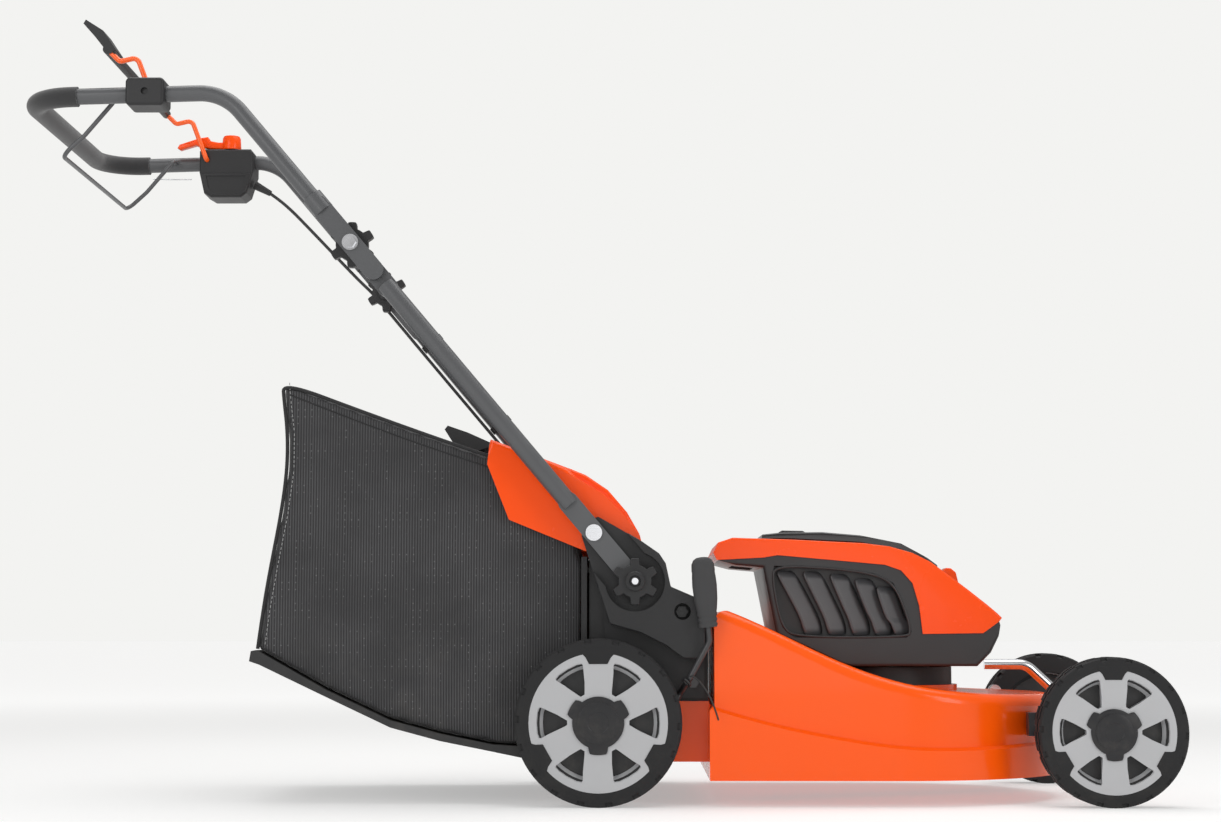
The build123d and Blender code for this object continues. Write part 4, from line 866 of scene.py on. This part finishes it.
lever = bmesh.new()
slab(lever, [(-592, 888), (-589, 893), (-562, 902), (-549, 904), (-545, 898), (-534, 896), (-520, 896),
             (-520, 886), (-548, 887), (-566, 892), (-588, 885.5)], 187, 201)
soften(lever, long_edges(lever, lambda x, z: True), 2.2, 3)
dial = bmesh.new()
spun(dial, [(0.2, 878), (5, 878), (5, 885.6), (13, 885.8), (13.5, 888), (12.6, 902), (11, 905), (0.2, 905.4)], 48)
bmesh.ops.rotate(dial, cent=(0, 0, 0), matrix=Matrix.Rotation(pi / 2, 3, "X"), verts=dial.verts)
bmesh.ops.translate(dial, vec=(-516, 194, 0), verts=dial.verts)
take_in(lever, dial)
piece("speed_lever_skin", lever, orange_moulding, "speed_lever", ("speed_lever",))

plate = bmesh.new()
slab(plate, [(-557, 850), (-485, 850), (-493, 825), (-501, 819), (-541, 819), (-550, 825)], 177.6, 181)
soften(plate, long_edges(plate, lambda x, z: True), 1.4, 2)
plate_piece = piece("control_box_face", plate, grey_moulding, "upper_handle")
hollow = bmesh.new()
slab(hollow, [(-549, 846), (-493, 846), (-498, 828), (-503, 823.5), (-540, 823.5), (-545, 828)], 170, 178.9)
carved(plate_piece, [hollow])

# Rounded cover and thumb paddle of the drive bail's bar
paddle = bmesh.new()
slab(paddle, [(-600, 925), (-595, 929), (-600, 940), (-614, 957), (-633, 971), (-637.5, 967.5), (-622, 950),
              (-611, 936)], -177, -136)
soften(paddle, [e for e in paddle.edges if abs(e.verts[0].co.y - e.verts[1].co.y) > 1], 2.4, 3)
soften(paddle, long_edges(paddle, lambda x, z: True), 1.6, 3)
piece("drive_bail_paddle", paddle, black_moulding, "drive_bail", bevel=0.4)

# ------------------------------------------------------------------------------ height lever
grip = bmesh.new()
GRIP_RINGS = [(0, 20), (2, 22.5), (4.5, 22.5), (5.5, 21), (7, 21), (8, 23), (10.5, 23), (11.5, 21.5), (13, 21.5),
              (14, 23.6), (17, 24), (19, 23), (21, 24.5), (34, 28), (50, 29.6), (60, 28.6), (66, 27.4), (68, 28.2),
              (76, 27), (81, 22), (83.6, 14), (84.2, 5)]
loops = []
for height, width in GRIP_RINGS:
    made = bmesh.ops.create_circle(grip, cap_ends=height in (0, 84.2), radius=0.5, segments=28)
    for vert in made["verts"]:
        angle = atan2(vert.co.y, vert.co.x)
        square = 0.82
        vert.co.x = (width / 2) * (abs(cos(angle)) ** square) * (1 if cos(angle) > 0 else -1)
        vert.co.y = min(width * 0.31, 8.2) * (abs(sin(angle)) ** square) * (1 if sin(angle) > 0 else -1)
        vert.co.z = height
    rim_edges = {e for v in made["verts"] for e in v.link_edges}
    loops.append(list(rim_edges))
for low, high in zip(loops, loops[1:]):
    bmesh.ops.bridge_loops(grip, edges=low + high)
bmesh.ops.rotate(grip, cent=(0, 0, 0), matrix=Matrix.Rotation(-radians(5), 3, "Y"), verts=grip.verts)
bmesh.ops.translate(grip, vec=(141.5, -229, 213), verts=grip.verts)
piece("lever_grip_skin", grip, lever_rubber, "rear_axle", ("height_lever_grip",), sharp=50)

tube_along("tie_tail", [(116, -225, 152), (121, -231, 158), (134, -233, 146), (147, -233, 124), (153, -233, 103)],
           1.1, black_moulding, "rear_axle")
tube_along("lever_tie", [(111, -222, 150), (113, -229, 152), (120, -230, 146), (119, -222, 143)], 1.5,
           black_moulding, "rear_axle", closed=True)

# ------------------------------------------------------------------------------------ cables
CABLE = [(-484, 207, 838), (-473, 207, 832), (-461.6, 207, 825.8), (-436, 206.5, 806), (-402, 206, 771),
         (-362, 205.2, 729), (-334, 204, 700)]
for distance, aside, y in ((12, -15.8, 202.3), (-30, -15.5, 202.3), (-95, -15.8, 202.3), (-250, -15.4, 202.3),
                           (-400, -15.8, 201.5), (-437, -14.3, 198.5)):
    lean = atan2(682 - 327, -294 - 4.3)
    CABLE.append((-294 + distance * cos(lean) + aside * sin(lean), y,
                  682 + distance * sin(lean) - aside * cos(lean)))
cable, line = tube_along("control_cable", CABLE, 2.3, cable_sheath)
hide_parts("control_cable_upper", "control_cable_lower")
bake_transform(cable)
wire = tube_along("brake_wire", [(-571, 190, 843), (-590, 189, 842.5), (-610, 184, 842), (-624, 181, 842)],
                  0.8, zinc)[0]
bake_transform(wire)

# ------------------------------------------------------------------------------------- studio
floor_mesh = bpy.data.meshes.new("floor")
ground = bmesh.new()
bmesh.ops.create_grid(ground, x_segments=1, y_segments=1, size=40)
ground.to_mesh(floor_mesh)
ground.free()
floor = bpy.data.objects.new("floor", floor_mesh)
bpy.context.collection.objects.link(floor)
pale = bpy.data.materials.new("pale_floor")
pale.use_nodes = True
pale_shader = pale.node_tree.nodes["Principled BSDF"]
pale_shader.inputs["Base Color"].default_value = (0.60, 0.60, 0.597, 1)
pale_shader.inputs["Roughness"].default_value = 0.9
pale_shader.inputs["Specular IOR Level"].default_value = 0.1
pale_shader.inputs["Emission Color"].default_value = (1, 1, 0.995, 1)
spread = pale.node_tree.nodes.new("ShaderNodeVectorMath")
spread.operation = "LENGTH"
pale.node_tree.links.new(object_place(pale.node_tree), spread.inputs[0])
near_glow = between(pale.node_tree, spread.outputs["Value"], 0.6, 2.0, 0.38, 0.40)
far_glow = between(pale.node_tree, spread.outputs["Value"], 1.6, 4.5, 0.0, 0.25)
pale.node_tree.links.new(sum_of(pale.node_tree, "ADD", near_glow, far_glow),
                         pale_shader.inputs["Emission Strength"])
floor_mesh.materials.append(pale)

world = bpy.data.worlds.new("studio")
world.use_nodes = True
bpy.context.scene.world = world
studio_light = world.node_tree.nodes["Background"]
studio_light.inputs["Color"].default_value = (1.0, 0.99, 0.975, 1)
studio_light.inputs["Strength"].default_value = 0.42
backdrop = world.node_tree.nodes.new("ShaderNodeBackground")
backdrop.inputs["Color"].default_value = screen(243, 243, 241)
which = world.node_tree.nodes.new("ShaderNodeMixShader")
world.node_tree.links.new(world.node_tree.nodes.new("ShaderNodeLightPath").outputs["Is Camera Ray"],
                          which.inputs["Fac"])
world.node_tree.links.new(studio_light.outputs[0], which.inputs[1])
world.node_tree.links.new(backdrop.outputs[0], which.inputs[2])
world.node_tree.links.new(which.outputs[0], world.node_tree.nodes["World Output"].inputs["Surface"])


def softbox(name, place, target, size, power):
    lamp = bpy.data.lights.new(name, "AREA")
    lamp.shape, lamp.size, lamp.size_y, lamp.energy = "RECTANGLE", size[0], size[1], power
    holder = bpy.data.objects.new(name, lamp)
    holder.location = place
    holder.rotation_euler = (Vector(target) - Vector(place)).to_track_quat("-Z", "Y").to_euler()
    bpy.context.collection.objects.link(holder)


softbox("overhead", (0.1, 0.2, 2.5), (0, 0, 0.3), (2.8, 2.0), 42)
softbox("front_left", (-1.9, -2.6, 1.5), (0, 0, 0.4), (1.4, 1.8), 26)
softbox("front_right", (2.2, -2.2, 1.2), (0.3, 0, 0.3), (0.8, 1.6), 19)
softbox("front_low", (0.4, -3.4, 0.55), (0.3, 0, 0.25), (1.0, 1.0), 4)

camera_data = bpy.data.cameras.new("camera")
camera = bpy.data.objects.new("camera", camera_data)
camera.location = (0.0521, -2.9126, 0.2093)
camera.rotation_euler = (radians(90 + 5.61), 0, radians(0.588))
camera_data.lens = 65.89
camera_data.sensor_width = 36
bpy.context.collection.objects.link(camera)
bpy.context.scene.camera = camera
bpy.context.scene.view_settings.view_transform = "Standard"
